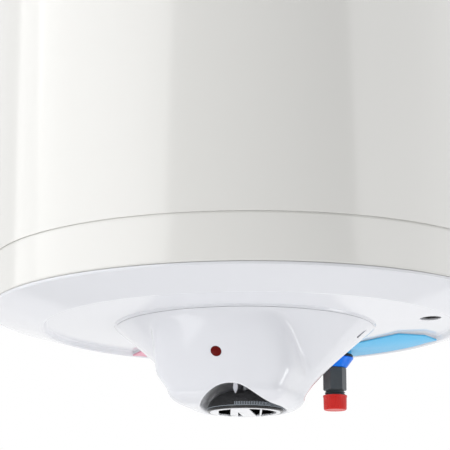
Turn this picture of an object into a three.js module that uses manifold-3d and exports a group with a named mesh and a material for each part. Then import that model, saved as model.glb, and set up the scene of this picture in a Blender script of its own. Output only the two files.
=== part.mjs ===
// Wall-hung electric storage water heater, 80 litre class, seen as it hangs.
// Millimetres, +Z up, -Y towards the room. The origin is the centre of the wall bracket's rear face.

import * as THREE from 'three';
import { mergeVertices } from 'three/addons/utils/BufferGeometryUtils.js';
import Module from 'manifold-3d';

const wasm = await Module();
wasm.setup();

// ---- Clearances ----
const fit = 0.3;                 // between pieces that seat on each other
const runningFit = 0.4;          // around a piece that turns or slides
const holeFit = 0.5;             // around a stud or screw in its hole

// ---- Jacket, top cap and lower pan ----
const jacketRadius = 250;
const jacketHeight = 655;        // from the parting line to the jacket's top edge
const sheetWall = 1;
const seamGap = 1.8;             // parting line between the jacket and the band
const bandHeight = 42;           // visible band below the parting line
const bandRoll = 2;              // rolled lower edge of the band
const panFlange = 12;            // inward flange that carries the bottom cover
const lipHeight = 12;            // pan and cap lips that stand inside the jacket
const panFloorHole = 100;
const capRound = 12;
const capCrown = 5;

// ---- Tank and insulation ----
const tankRadius = 215;
const tankWall = 2;
const tankLower = 100;           // lower weld above the parting line
const tankUpper = 560;
const domeDepth = 70;
const foamGap = 0.6;             // foam to jacket and to tank

// ---- Flange, all around the control axis ----
const controlOffset = 15.5;      // control axis in front of the tank axis
const neckRadius = 52;
const neckWall = 3;
const neckBottom = -14;
const neckTop = 37;
const ringRadius = 74;
const ringThickness = 6;
const gasketThickness = 3;
const plateThickness = 4;
const studCount = 5;
const studCircle = 63;
const studRadius = 4;
const studLength = 17;
const nutRadius = 7.5;
const nutHeight = 6.5;

// ---- Pieces on the flange ----
const elementRadius = 4.25;
const elementSpread = 29;        // each leg from the control axis, sideways
const elementBack = 14;          // legs behind the control axis
const elementTop = 210;
const terminalLength = 11;       // what stands out below the flange plate
const wellRadius = 6;
const wellBore = 4.3;
const wellTop = 245;
const rodRadius = 3.5;
const rodTop = 235;
const anodeRadius = 11;
const anodeFront = 33;           // anode in front of the control axis
const anodeTop = 230;
const anodeStud = 4;
const earthSide = 30;
const earthFront = 22;
const earthRadius = 2.5;

// ---- Thermostat ----
const thermostatWidth = 38;
const thermostatDepth = 36;
const thermostatHeight = 40;
const spindleRadius = 3;
const spindleGrip = 8;           // how far the spindle enters the thermostat
const buttonRadius = 3;
const buttonStand = 3;
const buttonStem = 5;
const buttonTravel = 2.5;
const buttonSide = 11;
const buttonBack = 11;

// ---- Bottom cover ----
const coverWall = 2.5;
const coverBead = 2;             // small step of the cover's edge below the band
const beadInset = 1.6;           // cover's slope starts this far inside the band
const rimRadius = 199.5;
const annulusDrop = 16.5;        // from the cover's top to its rim
const recessDepth = 4.6;
const discRadius = 194.3;
const dishDrop = 3.4;            // the disc slopes down by this towards the hood
const dishRadius = 126;          // flat around the hood, inside the slope
const plinthHeight = 2;
const plinthProud = 1;           // plinth outside the hood's edge
const plinthFlare = 1.6;         // its foot, outside the hood's edge
const openingInset = 4.5;        // control opening inside the hood's edge
const cableHoleRadius = 10;
const cableHolePlace = 176;
const cableBore = 5;
const grommetCollar = 2.5;
const coverScrewAngle = 28;      // from the rear, both sides
const coverScrewRadius = 2;
const coverScrewHead = 4;

// ---- Water pipes ----
const pipeSpread = 50;
const pipeBack = 145;
const pipeRadius = 8.5;
const pipeWall = 1.5;
const pipeInNipple = 13.5;
const coldPipeTop = 78;
const hotPipeTop = 590;
const diffuserRadius = 13;
const diffuserHeight = 26;
const bossRadius = 17.5;
const markerThickness = 1.6;     // coloured plates beside the pipes
const markerGap = 12;            // between the two plates, at the rear
const markerFront = 116;         // the plates' front edge at the pipe
const markerInnerFront = 134;    // and at the gap between them
const markerRadius = 191.5;      // the plates' rear edges, around the tank axis
const markerCollar = 3.5;        // ring on the plate that the washer seats on
const markerPostRadius = 4;
// Each plate's slanted front edge and its far corner, sideways and behind the tank axis,
// and the post that carries its far end.
const coldMarker = { corners: [[133, 61.5], [157, 79], [163, 106.5], [150, 119]], post: [148, 98] };
const hotMarker = { corners: [[118, 60], [158.5, 113.5], [152, 117]], post: [140, 108] };
const washerRadius = 18.8;
const washerThickness = 2.8;
const rosetteTopRadius = 19.4;
const rosetteBottomRadius = 12.6;
const rosetteHeight = 10;
const rosetteWall = 1.6;
const nippleFlats = 21;
const nippleHexHeight = 23.3;
const nippleTurn = 21.5;         // hexagon's turn about its axis, degrees
const threadRadius = 10.48;      // G 1/2 male thread
const threadRoot = 9.3;
const threadPitch = 1.814;
const threadTurns = 3;           // turns that show above the cap
const spigotLength = 16.6;
const nippleBore = 6.6;
const capGap = 5;                // thread that shows above the cap
const capTravel = 18;
const capInner = 11.1;
const capOuter = 12;
const capFlange = 12.4;
const capFlangeHeight = 2;
const capLength = 15;
const capBottom = 1.6;

// ---- Hood ----
const hoodRadius = 123;
const hoodSeam = 0.3;            // parting line above the hood
const hoodHeight = 78.4;
const hoodWall = 2.4;
const hoodLipHeight = 8;
const flareDepth = 66.1;
const flareCurve = 1.25;
const throatRadius = 56;
const throatRound = 18;
const noseHalfWidth = 66.5;
const noseReach = 82;            // front of the nose at the flare's foot
const noseCurve = 1.35;
const noseRound = 34;
const noseSag = 4.5;             // bow of the nose's front face
const noseCorner = 11;           // higher is a tighter corner
const creaseSoftness = 1.3;
const latchSlotWidth = 6;
const latchSlotHeight = 7;
const latchAngle = 2.5;          // behind the side, both sides
const latchDrop = 8.5;
const tabWidth = 18;
const barbReach = 1.6;
const barbHeight = 3.6;

// ---- Dial pocket and dial ----
const pocketHalfWidth = 39;
const pocketFront = 99;
const pocketRear = 40;
const pocketHeight = 30.5;
const pocketLean = 0.092;        // pocket's front end to the right, per length
const pocketDrop = 1.5;          // pocket's middle plane below the hood
const pocketWall = 2.5;
const pointerFront = 33;
const pointerWidth = 4;
const pointerHeight = 7;
const pointerThickness = 2.4;
const pointerTip = 16.5;         // tip above the dial's underside
const dialRadius = 35.8;
const dialProud = 0.8;             // dial below the hood's edge
const dialSkirt = 2.5;
const dialHeight = 21.2;
const dialEdge = 0.6;
const gripRadius = 33.6;
const gripDepth = 6;
const gripRing = 4.4;
const gripTurn = 16.5;           // the wheel's turn at rest, degrees
const gripEnd = 30;              // windows run out to the rim
// Windows between the wheel's bars: left and right at the front, then at the rear.
const gripWindows = [
  { front: [-25, -14], rear: [-25, -14], start: -gripEnd },
  { front: [-6.6, -6.5], rear: [-6.5, -1.6], start: -1 },
  { front: [2.2, 13.7], rear: [11.6, 13.7], start: -gripEnd },
  { front: [15.7, gripEnd], rear: [15.7, gripEnd], start: -gripEnd },
];
const socketDepth = 12;

// ---- Lamp ----
const lensRadius = 5.2;
const lensDrop = 35.2;           // below the hood's edge
const lensProud = 0.9;
const lensFlange = 7.4;
const lampRadius = 4;
const lampLength = 20;

// ---- Wall parts ----
const wallGap = 14;              // jacket to wall
const hangHeight = 500;          // bracket above the parting line
const bracketHalfWidth = 111;
const bracketHeight = 60;
const bracketThickness = 3;
const hookSpread = 70;
const hookWidth = 12;
const hookLength = 30;
const spacerHeight = 34;
const spacerHalfWidth = 32;
const spacerLevel = 70;          // above the parting line

// ---- Inside wiring ----
const wireRadius = 1.5;
const wireStraight = 14;         // out of the block before the wires bend
const wireDrop = 6;              // below the flange's terminals
const liveBend = [60, 2, 4];     // sideways, behind the control axis, further down
const neutralBend = [62, 16, 4];
const liveEntry = -2;            // into the thermostat's side, behind the control axis
const neutralEntry = 10;
const entryRun = 12;
const entryHeight = 14;          // above the thermostat's bottom
const earthBend = [60, -34.5, 5];
const earthLoop = 24;            // in front of the earth stud
const earthDip = 6;
const blockLength = 36;
const blockWidth = 22;
const blockHeight = 16;
const blockPlace = 140;

// ---- Facets ----
const bigSides = 48;
const tankSides = 32;
const midSides = 24;
const smallSides = 16;

// ---- Levels and places that follow from the sizes above ----
const wallPlane = jacketRadius + wallGap;
const lipRadius = jacketRadius - sheetWall - fit;
const coverTop = -bandHeight - fit;
const rimLevel = coverTop - annulusDrop;
const discLevel = rimLevel + recessDepth;
const dishLevel = discLevel - dishDrop;
const plinthLevel = dishLevel - plinthHeight;
const hoodTop = plinthLevel - hoodSeam;
const hoodBottom = hoodTop - hoodHeight;
const openingRadius = hoodRadius - openingInset;
const hoodLipRadius = openingRadius - fit;
const ringLevel = neckBottom - ringThickness;
const gasketTop = ringLevel - fit;
const plateTop = gasketTop - gasketThickness - fit;
const plateBottom = plateTop - plateThickness;
const underPlate = plateBottom - fit;
const thermostatBottom = underPlate - thermostatHeight;
const dialBottom = hoodBottom - dialProud;
const dialTop = dialBottom + dialHeight;
const markerTop = rimLevel + markerThickness;
const washerTop = rimLevel - markerCollar - fit;
const rosetteTop = washerTop - washerThickness - fit;
const rosetteBottom = rosetteTop - rosetteHeight;
const nippleTop = rosetteBottom - fit;
const hexBottom = nippleTop - nippleHexHeight;
const pipeBottom = nippleTop - pipeInNipple;
const capTop = hexBottom - capGap;

// ---- Making solids ----

function signedVolume(position, triangles) {
  const a = new THREE.Vector3();
  const b = new THREE.Vector3();
  const c = new THREE.Vector3();
  let total = 0;
  for (let i = 0; i < triangles.length; i += 3) {
    a.fromBufferAttribute(position, triangles[i]);
    b.fromBufferAttribute(position, triangles[i + 1]);
    c.fromBufferAttribute(position, triangles[i + 2]);
    total += a.dot(b.cross(c));
  }
  return total / 6;
}

// A closed three.js geometry as a solid that can be joined and cut.
function toSolid(geometry) {
  const bare = new THREE.BufferGeometry();
  bare.setAttribute('position', geometry.getAttribute('position'));
  bare.setIndex(geometry.index);
  const merged = mergeVertices(bare);
  const position = merged.getAttribute('position');
  const corners = merged.index.array;
  const triangles = [];
  for (let i = 0; i < corners.length; i += 3) {
    const [a, b, c] = [corners[i], corners[i + 1], corners[i + 2]];
    if (a !== b && b !== c && c !== a) triangles.push(a, b, c);
  }
  if (signedVolume(position, triangles) < 0) triangles.reverse();
  const mesh = new wasm.Mesh({
    numProp: 3,
    vertProperties: new Float32Array(position.array),
    triVerts: new Uint32Array(triangles),
  });
  return new wasm.Manifold(mesh);
}

function toGeometry(solid) {
  const mesh = solid.getMesh();
  const geometry = new THREE.BufferGeometry();
  geometry.setAttribute('position', new THREE.BufferAttribute(new Float32Array(mesh.vertProperties), 3));
  geometry.setIndex(new THREE.BufferAttribute(new Uint32Array(mesh.triVerts), 1));
  geometry.computeVertexNormals();
  return geometry;
}

// A profile of [radius, height] pairs turned about the Z axis.
function turned(profile, sides = bigSides) {
  const points = profile.map(([radius, height]) => new THREE.Vector2(radius, height));
  const geometry = new THREE.LatheGeometry(points, sides);
  geometry.rotateX(Math.PI / 2);
  return toSolid(geometry);
}

function rod(radius, low, high, sides = smallSides) {
  return turned([[0, low], [radius, low], [radius, high], [0, high]], sides);
}

function tube(outer, inner, low, high, sides = smallSides) {
  return turned([[inner, low], [outer, low], [outer, high], [inner, high], [inner, low]], sides);
}

function block(lowX, highX, lowY, highY, lowZ, highZ) {
  const geometry = new THREE.BoxGeometry(highX - lowX, highY - lowY, highZ - lowZ);
  geometry.translate((lowX + highX) / 2, (lowY + highY) / 2, (lowZ + highZ) / 2);
  return toSolid(geometry);
}

// An outline in the XY plane raised from low to high.
function raised(shape, low, high, curveSegments = 8) {
  const options = { depth: high - low, bevelEnabled: false, curveSegments };
  const geometry = new THREE.ExtrudeGeometry(shape, options);
  geometry.translate(0, 0, low);
  return toSolid(geometry);
}

function polygonShape(points) {
  return new THREE.Shape(points.map(([x, y]) => new THREE.Vector2(x, y)));
}

function regularPolygon(flats, corners) {
  const radius = flats / 2 / Math.cos(Math.PI / corners);
  const points = [];
  for (let i = 0; i < corners; i += 1) {
    const angle = (2 * Math.PI * i) / corners;
    points.push([radius * Math.sin(angle), -radius * Math.cos(angle)]);
  }
  return polygonShape(points);
}

// Rings of equal length, joined into one closed skin with a fan at each end.
function lofted(rings) {
  const count = rings[0].length;
  const positions = [];
  const faces = [];
  for (const ring of rings) for (const point of ring) positions.push(...point);
  for (let level = 0; level < rings.length - 1; level += 1) {
    for (let i = 0; i < count; i += 1) {
      const a = level * count + i;
      const b = level * count + ((i + 1) % count);
      faces.push(a, b, a + count, b, b + count, a + count);
    }
  }
  for (const level of [0, rings.length - 1]) {
    const centre = positions.length / 3;
    positions.push(0, 0, rings[level][0][2]);
    for (let i = 0; i < count; i += 1) {
      const a = level * count + i;
      const b = level * count + ((i + 1) % count);
      if (level === 0) faces.push(b, a, centre);
      else faces.push(a, b, centre);
    }
  }
  const geometry = new THREE.BufferGeometry();
  geometry.setAttribute('position', new THREE.BufferAttribute(new Float32Array(positions), 3));
  geometry.setIndex(faces);
  return toSolid(geometry);
}

// A round wire or bar along a curve.
function swept(curve, radius, steps, sides = 8) {
  const section = polygonShape(
    Array.from({ length: sides }, (_, i) => {
      const angle = (2 * Math.PI * i) / sides;
      return [radius * Math.cos(angle), radius * Math.sin(angle)];
    }),
  );
  return toSolid(new THREE.ExtrudeGeometry(section, { extrudePath: curve, steps }));
}

function wirePath(points) {
  return new THREE.CatmullRomCurve3(points.map((point) => new THREE.Vector3(...point)), false, 'centripetal');
}

// ---- Assembly ----

const heater = new THREE.Group();          // its own origin: tank axis at the parting line
heater.position.set(0, -wallPlane, -hangHeight);

const finishes = {
  cream: { color: 0xf2f1ec, roughness: 0.22, metalness: 0 },
  coolWhite: { color: 0xeceef3, roughness: 0.25, metalness: 0 },
  black: { color: 0x14171b, roughness: 0.35, metalness: 0 },
  darkGrey: { color: 0x3a4046, roughness: 0.6, metalness: 0 },
  rubber: { color: 0x101214, roughness: 0.85, metalness: 0 },
  blue: { color: 0x0a78f0, roughness: 0.3, metalness: 0 },
  red: { color: 0xc8261f, roughness: 0.4, metalness: 0 },
  lightBlue: { color: 0x7cc4ea, roughness: 0.45, metalness: 0 },
  lightRed: { color: 0xf0a8c0, roughness: 0.45, metalness: 0 },
  lens: { color: 0x8c1210, roughness: 0.15, metalness: 0 },
  enamel: { color: 0x27486a, roughness: 0.3, metalness: 0.2 },
  foam: { color: 0xe6d9a0, roughness: 0.95, metalness: 0 },
  steel: { color: 0xa9adb1, roughness: 0.4, metalness: 0.9 },
  copper: { color: 0xb87045, roughness: 0.35, metalness: 1 },
  magnesium: { color: 0x9a9c9e, roughness: 0.6, metalness: 0.7 },
  brass: { color: 0xc9a24b, roughness: 0.35, metalness: 1 },
  brown: { color: 0x6b4630, roughness: 0.5, metalness: 0 },
  green: { color: 0x6aa83a, roughness: 0.5, metalness: 0 },
};

function place(name, solid, finish, [x, y, z] = [0, 0, 0]) {
  const mesh = new THREE.Mesh(toGeometry(solid), new THREE.MeshStandardMaterial(finishes[finish]));
  mesh.name = name;
  mesh.position.set(x, y, z);
  heater.add(mesh);
  return mesh;
}

const controlAxis = [0, -controlOffset, 0];
const sidesOfPipes = { cold: pipeSpread, hot: -pipeSpread };

function studPlace(index) {
  const angle = (2 * Math.PI * (index + 0.5)) / studCount;
  return [studCircle * Math.sin(angle), -studCircle * Math.cos(angle) - controlOffset];
}

// ---- Outer sheet metal ----

function makeJacket() {
  let jacket = tube(jacketRadius, jacketRadius - sheetWall, seamGap / 2, jacketHeight, bigSides);
  for (const side of [-1, 1]) jacket = jacket.subtract(bracketLegSlot(side));
  return jacket;
}

// The slot that a bracket leg passes, through the jacket and the foam.
function bracketLegSlot(side) {
  const outer = side * (bracketHalfWidth + fit);
  const inner = side * (bracketHalfWidth - bracketThickness - fit);
  const half = bracketHeight / 2 + fit;
  const low = hangHeight - half;
  const high = hangHeight + half;
  return block(Math.min(outer, inner), Math.max(outer, inner), tankRadius * 0.7, wallPlane, low, high);
}

function makeLowerPan() {
  const step = -seamGap / 2;
  const roll = jacketRadius - bandRoll;
  const bend = bandRoll * Math.SQRT1_2;
  const rollCentre = -bandHeight + bandRoll;
  let pan = turned([
    [panFloorHole, lipHeight],
    [lipRadius, lipHeight],
    [lipRadius, step],
    [jacketRadius, step],
    [jacketRadius, rollCentre],
    [roll + bend, rollCentre - bend],
    [roll, -bandHeight],
    [roll - panFlange, -bandHeight],
    [roll - panFlange, -bandHeight + sheetWall],
    [roll + sheetWall, -bandHeight + sheetWall],
    [jacketRadius - sheetWall, rollCentre - sheetWall],
    [jacketRadius - sheetWall, step - sheetWall],
    [lipRadius - sheetWall, step - sheetWall],
    [lipRadius - sheetWall, lipHeight - sheetWall],
    [panFloorHole, lipHeight - sheetWall],
    [panFloorHole, lipHeight],
  ]);
  for (const x of Object.values(sidesOfPipes)) {
    const hole = rod(pipeRadius + holeFit, 0, 2 * lipHeight);
    pan = pan.subtract(hole.translate([x, pipeBack, 0]));
  }
  for (const side of [-1, 1]) {
    const [x, y] = coverScrewPlace(side);
    const hole = rod(coverScrewRadius + holeFit, -bandHeight - 1, -bandHeight + 2 * sheetWall, 12);
    pan = pan.subtract(hole.translate([x, y, 0]));
  }
  return pan;
}

function makeTopCap() {
  const foot = jacketHeight + fit;
  const shoulder = jacketRadius - capRound;
  const bend = capRound * Math.SQRT1_2;
  const lipFoot = jacketHeight - lipHeight;
  return turned([
    [0, foot + capRound + capCrown],
    [shoulder / 2, foot + capRound + capCrown * 0.75],
    [shoulder, foot + capRound],
    [shoulder + bend, foot + bend],
    [jacketRadius, foot],
    [lipRadius, foot],
    [lipRadius, lipFoot],
    [lipRadius - sheetWall, lipFoot],
    [lipRadius - sheetWall, foot + sheetWall],
    [shoulder, foot + capRound - sheetWall],
    [shoulder / 2, foot + capRound + capCrown * 0.75 - sheetWall],
    [0, foot + capRound + capCrown - sheetWall],
  ]);
}

// ---- Tank ----

function domeProfile(radius, depth, steps = 4) {
  const points = [];
  for (let i = 0; i <= steps; i += 1) {
    const angle = (Math.PI / 2) * (i / steps);
    points.push([radius * Math.sin(angle), depth * Math.cos(angle)]);
  }
  points[0][0] = 0;
  return points;
}

// A dished end that bulges along +Z from its weld edge at z = 0.
function dishedEnd() {
  const outer = domeProfile(tankRadius, domeDepth);
  const inner = domeProfile(tankRadius - tankWall, domeDepth - tankWall);
  outer.at(-1)[1] = 0;
  inner.at(-1)[1] = 0;
  return turned([...outer, ...inner.reverse()], tankSides);
}

function makeTankShell() {
  return tube(tankRadius, tankRadius - tankWall, tankLower + fit / 2, tankUpper - fit / 2, tankSides);
}

function makeBottomDome() {
  const dish = dishedEnd().rotate([180, 0, 0]).translate([0, 0, tankLower - fit / 2]);
  let neck = tube(neckRadius, neckRadius - neckWall, neckBottom, neckTop, midSides);
  neck = neck.add(tube(ringRadius, neckRadius - neckWall, ringLevel, neckBottom + 0.01, midSides));
  neck = neck.translate(controlAxis);
  for (let i = 0; i < studCount; i += 1) {
    const [x, y] = studPlace(i);
    neck = neck.add(rod(studRadius, ringLevel - studLength, ringLevel + 1, 8).translate([x, y, 0]));
  }
  const bore = rod(neckRadius - neckWall, 0, neckTop + 1, midSides).translate(controlAxis);
  let dome = dish.subtract(bore).add(neck);
  for (const x of Object.values(sidesOfPipes)) {
    dome = dome.subtract(rod(pipeRadius + fit, 0, tankLower).translate([x, pipeBack, 0]));
  }
  return dome;
}

function makeFoam() {
  const outer = jacketRadius - sheetWall - foamGap;
  const lipClear = lipRadius - sheetWall - foamGap;
  const top = jacketHeight - fit;
  const bottom = lipHeight + fit;
  const lipFoot = jacketHeight - lipHeight - fit;
  let foam = turned([
    [0, bottom], [outer, bottom], [outer, lipFoot], [lipClear, lipFoot], [lipClear, top], [0, top],
  ]);
  const wall = tankRadius + foamGap;
  const cap = domeProfile(wall, domeDepth + foamGap);
  const tankSpace = turned([
    ...cap.map(([radius, height]) => [radius, tankUpper + height]),
    ...cap.reverse().map(([radius, height]) => [radius, tankLower - height]),
  ], tankSides);
  foam = foam.subtract(tankSpace);
  foam = foam.subtract(rod(ringRadius + foamGap, 0, tankLower / 2, midSides).translate(controlAxis));
  for (const x of Object.values(sidesOfPipes)) {
    foam = foam.subtract(rod(pipeRadius + foamGap, 0, tankLower).translate([x, pipeBack, 0]));
  }
  for (const side of [-1, 1]) foam = foam.subtract(bracketLegSlot(side));
  return foam;
}

// ---- Flange group, built around the control axis ----

function flangeHoles(low, high) {
  let holes = rod(wellRadius + fit, low, high, 16);
  for (const side of [-1, 1]) {
    const legHole = rod(elementRadius + fit, low, high, 16);
    holes = holes.add(legHole.translate([side * elementSpread, elementBack, 0]));
  }
  return holes.add(rod(anodeStud + fit, low, high, 16).translate([0, -anodeFront, 0]));
}

function studHoles(low, high) {
  const holes = [];
  for (let i = 0; i < studCount; i += 1) {
    const [x, y] = studPlace(i);
    holes.push(rod(studRadius + holeFit, low, high, 12).translate([x, y + controlOffset, 0]));
  }
  return holes;
}

function makeGasket() {
  let gasket = tube(ringRadius, neckRadius - neckWall, gasketTop - gasketThickness, gasketTop, midSides);
  for (const hole of studHoles(plateTop, ringLevel)) gasket = gasket.subtract(hole);
  return gasket;
}

function makeFlangePlate() {
  let plate = rod(ringRadius, plateBottom, plateTop, midSides);
  for (const hole of studHoles(plateBottom - 1, plateTop + 1)) plate = plate.subtract(hole);
  plate = plate.subtract(flangeHoles(plateBottom - 1, plateTop + 1));
  const earthStud = rod(earthRadius, plateBottom - terminalLength, plateBottom + 1, 10);
  return plate.add(earthStud.translate([-earthSide, -earthFront, 0]));
}

function makeNut(bore) {
  const hexagon = raised(regularPolygon(nutRadius * 1.73, 6), underPlate - nutHeight, underPlate);
  return hexagon.subtract(rod(bore + fit, underPlate - nutHeight - 1, underPlate + 1, 12));
}

function makeElement() {
  const foot = plateBottom - terminalLength;
  const bendCentre = elementTop - elementSpread;
  const path = new THREE.CurvePath();
  const left = (z) => new THREE.Vector3(-elementSpread, elementBack, z);
  const right = (z) => new THREE.Vector3(elementSpread, elementBack, z);
  class Bend extends THREE.Curve {
    getPoint(t, target = new THREE.Vector3()) {
      const angle = Math.PI * (1 - t);
      return target.set(
        elementSpread * Math.cos(angle), elementBack, bendCentre + elementSpread * Math.sin(angle),
      );
    }
  }
  path.add(new THREE.LineCurve3(left(foot), left(bendCentre)));
  path.add(new Bend());
  path.add(new THREE.LineCurve3(right(bendCentre), right(foot)));
  return swept(path, elementRadius, 30);
}

function makeThermowell() {
  return turned([
    [wellBore, plateBottom], [wellRadius, plateBottom], [wellRadius, wellTop], [0, wellTop],
    [0, wellTop - 2], [wellBore, wellTop - 2], [wellBore, plateBottom],
  ], 16);
}

function makeAnode() {
  const shoulder = plateTop + fit;
  const foot = plateBottom - terminalLength + 1;
  return turned([
    [0, foot], [anodeStud, foot], [anodeStud, shoulder], [anodeRadius, shoulder],
    [anodeRadius, anodeTop - 2], [anodeRadius - 2, anodeTop], [0, anodeTop],
  ], 16);
}

function makeThermostat() {
  const halfWidth = thermostatWidth / 2;
  const halfDepth = thermostatDepth / 2;
  const body = block(-halfWidth, halfWidth, -halfDepth, halfDepth, thermostatBottom, underPlate);
  const sensor = rod(rodRadius, underPlate - 1, rodTop, 12);
  const spindleTop = thermostatBottom + spindleGrip + fit;
  const spindleHole = rod(spindleRadius + runningFit, thermostatBottom - 1, spindleTop, 16);
  const buttonDepth = buttonStem + buttonTravel + runningFit;
  const buttonHole = rod(buttonRadius + runningFit, thermostatBottom - 1, thermostatBottom + buttonDepth, 16);
  return body.add(sensor).subtract(spindleHole).subtract(buttonHole.translate([buttonSide, buttonBack, 0]));
}

function makeSpindle() {
  const low = dialTop - socketDepth + fit;
  return rod(spindleRadius, low, thermostatBottom + spindleGrip, 16);
}

function makeButton() {
  const low = thermostatBottom - buttonStand;
  return turned([
    [0, low], [buttonRadius - 0.5, low], [buttonRadius, low + 0.5],
    [buttonRadius, thermostatBottom + buttonStem], [0, thermostatBottom + buttonStem],
  ], 16);
}

// ---- Bottom cover ----

function coverScrewPlace(side) {
  const radius = jacketRadius - bandRoll - panFlange / 2;
  const angle = THREE.MathUtils.degToRad(coverScrewAngle);
  return [side * radius * Math.sin(angle), radius * Math.cos(angle)];
}

function coverProfile() {
  const flangeEdge = jacketRadius - bandRoll - panFlange;
  const beadFoot = [jacketRadius - beadInset, coverTop - coverBead - 1.2];
  const rimShoulder = [rimRadius + 1.8, rimLevel + 0.35];
  const slope = (beadFoot[1] - rimShoulder[1]) / (beadFoot[0] - rimShoulder[0]);
  const flangeFoot = coverTop - coverWall;
  const innerEdge = rimShoulder[0] + (flangeFoot - coverWall - rimShoulder[1]) / slope;
  return [
    [flangeEdge, coverTop],
    [jacketRadius - 1, coverTop],
    [jacketRadius - 0.3, coverTop - 0.7],
    [jacketRadius - 0.3, coverTop - coverBead],
    beadFoot,
    rimShoulder,
    [rimRadius, rimLevel],
    [rimRadius - 1.2, rimLevel + 0.7],
    [discRadius, discLevel],
    [0, discLevel],
    [0, discLevel + coverWall],
    [discRadius + coverWall, discLevel + coverWall],
    [rimRadius + 1, rimLevel + coverWall + 0.4],
    [innerEdge, flangeFoot],
    [flangeEdge, flangeFoot],
    [flangeEdge, coverTop],
  ];
}

// The disc slopes from the recess, round the tank's axis, to the hood, round the control axis.
function coverDish() {
  const edge = discRadius - 0.5;
  const join = discLevel + 0.5;
  const dish = turned([[0, dishLevel], [dishRadius, dishLevel], [edge, discLevel], [edge, join], [0, join]]);
  return dish.warp((point) => {
    const share = (edge - Math.hypot(point[0], point[1])) / (edge - dishRadius);
    point[1] -= controlOffset * Math.min(1, Math.max(0, share));
  });
}

function makeBottomCover() {
  let cover = turned(coverProfile()).add(coverDish());
  const join = dishLevel + 0.5;
  const plinth = turned([
    [0, plinthLevel], [hoodRadius + plinthProud, plinthLevel], [hoodRadius + plinthFlare, join], [0, join],
  ]);
  cover = cover.add(plinth.translate(controlAxis));
  const opening = rod(openingRadius, plinthLevel - 1, discLevel + coverWall + 1, bigSides);
  cover = cover.subtract(opening.translate(controlAxis));
  for (const x of Object.values(sidesOfPipes)) {
    const side = Math.sign(x);
    const post = side > 0 ? coldMarker.post : hotMarker.post;
    cover = cover.add(rod(bossRadius, markerTop + fit, discLevel + 0.5).translate([x, pipeBack, 0]));
    const pillar = rod(markerPostRadius, markerTop + fit, discLevel + 0.5, 10);
    cover = cover.add(pillar.translate([side * post[0], post[1], 0]));
    const hole = rod(pipeRadius + 2 * holeFit, rimLevel, discLevel + coverWall + 1);
    cover = cover.subtract(hole.translate([x, pipeBack, 0]));
  }
  const cableHole = rod(cableHoleRadius, plinthLevel, discLevel + coverWall + 1);
  cover = cover.subtract(cableHole.translate([cableHolePlace, 0, 0]));
  for (const side of [-1, 1]) {
    const [x, y] = coverScrewPlace(side);
    const shank = rod(coverScrewRadius + holeFit, rimLevel, coverTop + 1, 12);
    const well = rod(coverScrewHead + holeFit, rimLevel, coverTop - coverWall, 12);
    cover = cover.subtract(shank.translate([x, y, 0])).subtract(well.translate([x, y, 0]));
  }
  return cover;
}

function makeCoverScrew() {
  const seat = coverTop - coverWall - fit;
  return turned([
    [0, seat - 3], [coverScrewHead - 0.6, seat - 3], [coverScrewHead, seat - 2.2], [coverScrewHead, seat],
    [coverScrewRadius, seat], [coverScrewRadius, -bandHeight + 5], [0, -bandHeight + 7],
  ], 12);
}

function makeGrommet() {
  const neck = cableHoleRadius - fit;
  const foot = discLevel + 0.2;
  const seat = discLevel + coverWall + fit;
  const collar = cableHoleRadius + grommetCollar;
  return turned([
    [cableBore, foot], [neck, foot], [neck, seat], [collar, seat],
    [collar, seat + 2], [cableBore, seat + 2], [cableBore, foot],
  ], smallSides);
}

// ---- Hood: a flared bell with a nose at its front ----

function softMax(a, b, softness) {
  return Math.max(a, b) + softness * Math.log(1 + Math.exp(-Math.abs(a - b) / softness));
}

function softMin(a, b, softness) {
  return -softMax(-a, -b, softness);
}

// A flared wall that runs into a rounded foot; depth is measured down from the hood's edge.
function flaredReach(depth, top, foot, curve, round) {
  if (depth <= flareDepth) return foot + (top - foot) * (1 - depth / flareDepth) ** curve;
  const share = Math.min(1, (depth - flareDepth) / (hoodHeight - flareDepth));
  return foot - round * (1 - Math.sqrt(1 - share * share));
}

// Distance from the control axis to the hood's skin; angle 0 points to the front.
function hoodReach(angle, depth) {
  const bell = flaredReach(depth, hoodRadius, throatRadius, flareCurve, throatRound);
  const half = softMin(noseHalfWidth, bell, 2);
  const front = flaredReach(depth, hoodRadius - 2, noseReach, noseCurve, noseRound);
  const topSag = hoodRadius - Math.sqrt(hoodRadius ** 2 - noseHalfWidth ** 2);
  const run = Math.max(0, 1 - depth / flareDepth);
  const bow = (noseSag + (topSag - noseSag) * run ** 2.5) / half ** 2;
  const cosine = Math.cos(angle);
  const sine = Math.abs(Math.sin(angle));
  let nose = half * sine;
  if (cosine > 0) {
    const face = sine < 1e-4
      ? front
      : (-cosine + Math.sqrt(cosine ** 2 + 4 * bow * front * sine ** 2)) / (2 * bow * sine ** 2);
    const cheek = half / Math.max(sine, 1e-4);
    nose = (face ** -noseCorner + cheek ** -noseCorner) ** (-1 / noseCorner);
  }
  return softMax(bell, nose, creaseSoftness);
}

function hoodRing(depth, sides, inset = 0, lift = 0) {
  const ring = [];
  for (let i = 0; i < sides; i += 1) {
    const angle = (2 * Math.PI * i) / sides;
    const reach = hoodReach(angle, depth + lift) - inset;
    ring.push([reach * Math.sin(angle), -reach * Math.cos(angle), hoodTop - depth]);
  }
  return ring;
}

function hoodSkin() {
  const roundSteps = [0, 0.4, 0.7, 0.9, 1];
  const depths = [0, 8, 20, 40];
  for (const step of roundSteps) depths.push(flareDepth + (hoodHeight - flareDepth) * step);
  return lofted(depths.map((depth) => hoodRing(depth, 48)).reverse());
}

function hoodHollow() {
  const depths = [hoodWall, 16, 40, flareDepth, hoodHeight - hoodWall];
  return lofted(depths.map((depth) => hoodRing(depth, 32, hoodWall * 1.1, hoodWall * 0.5)).reverse());
}

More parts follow.
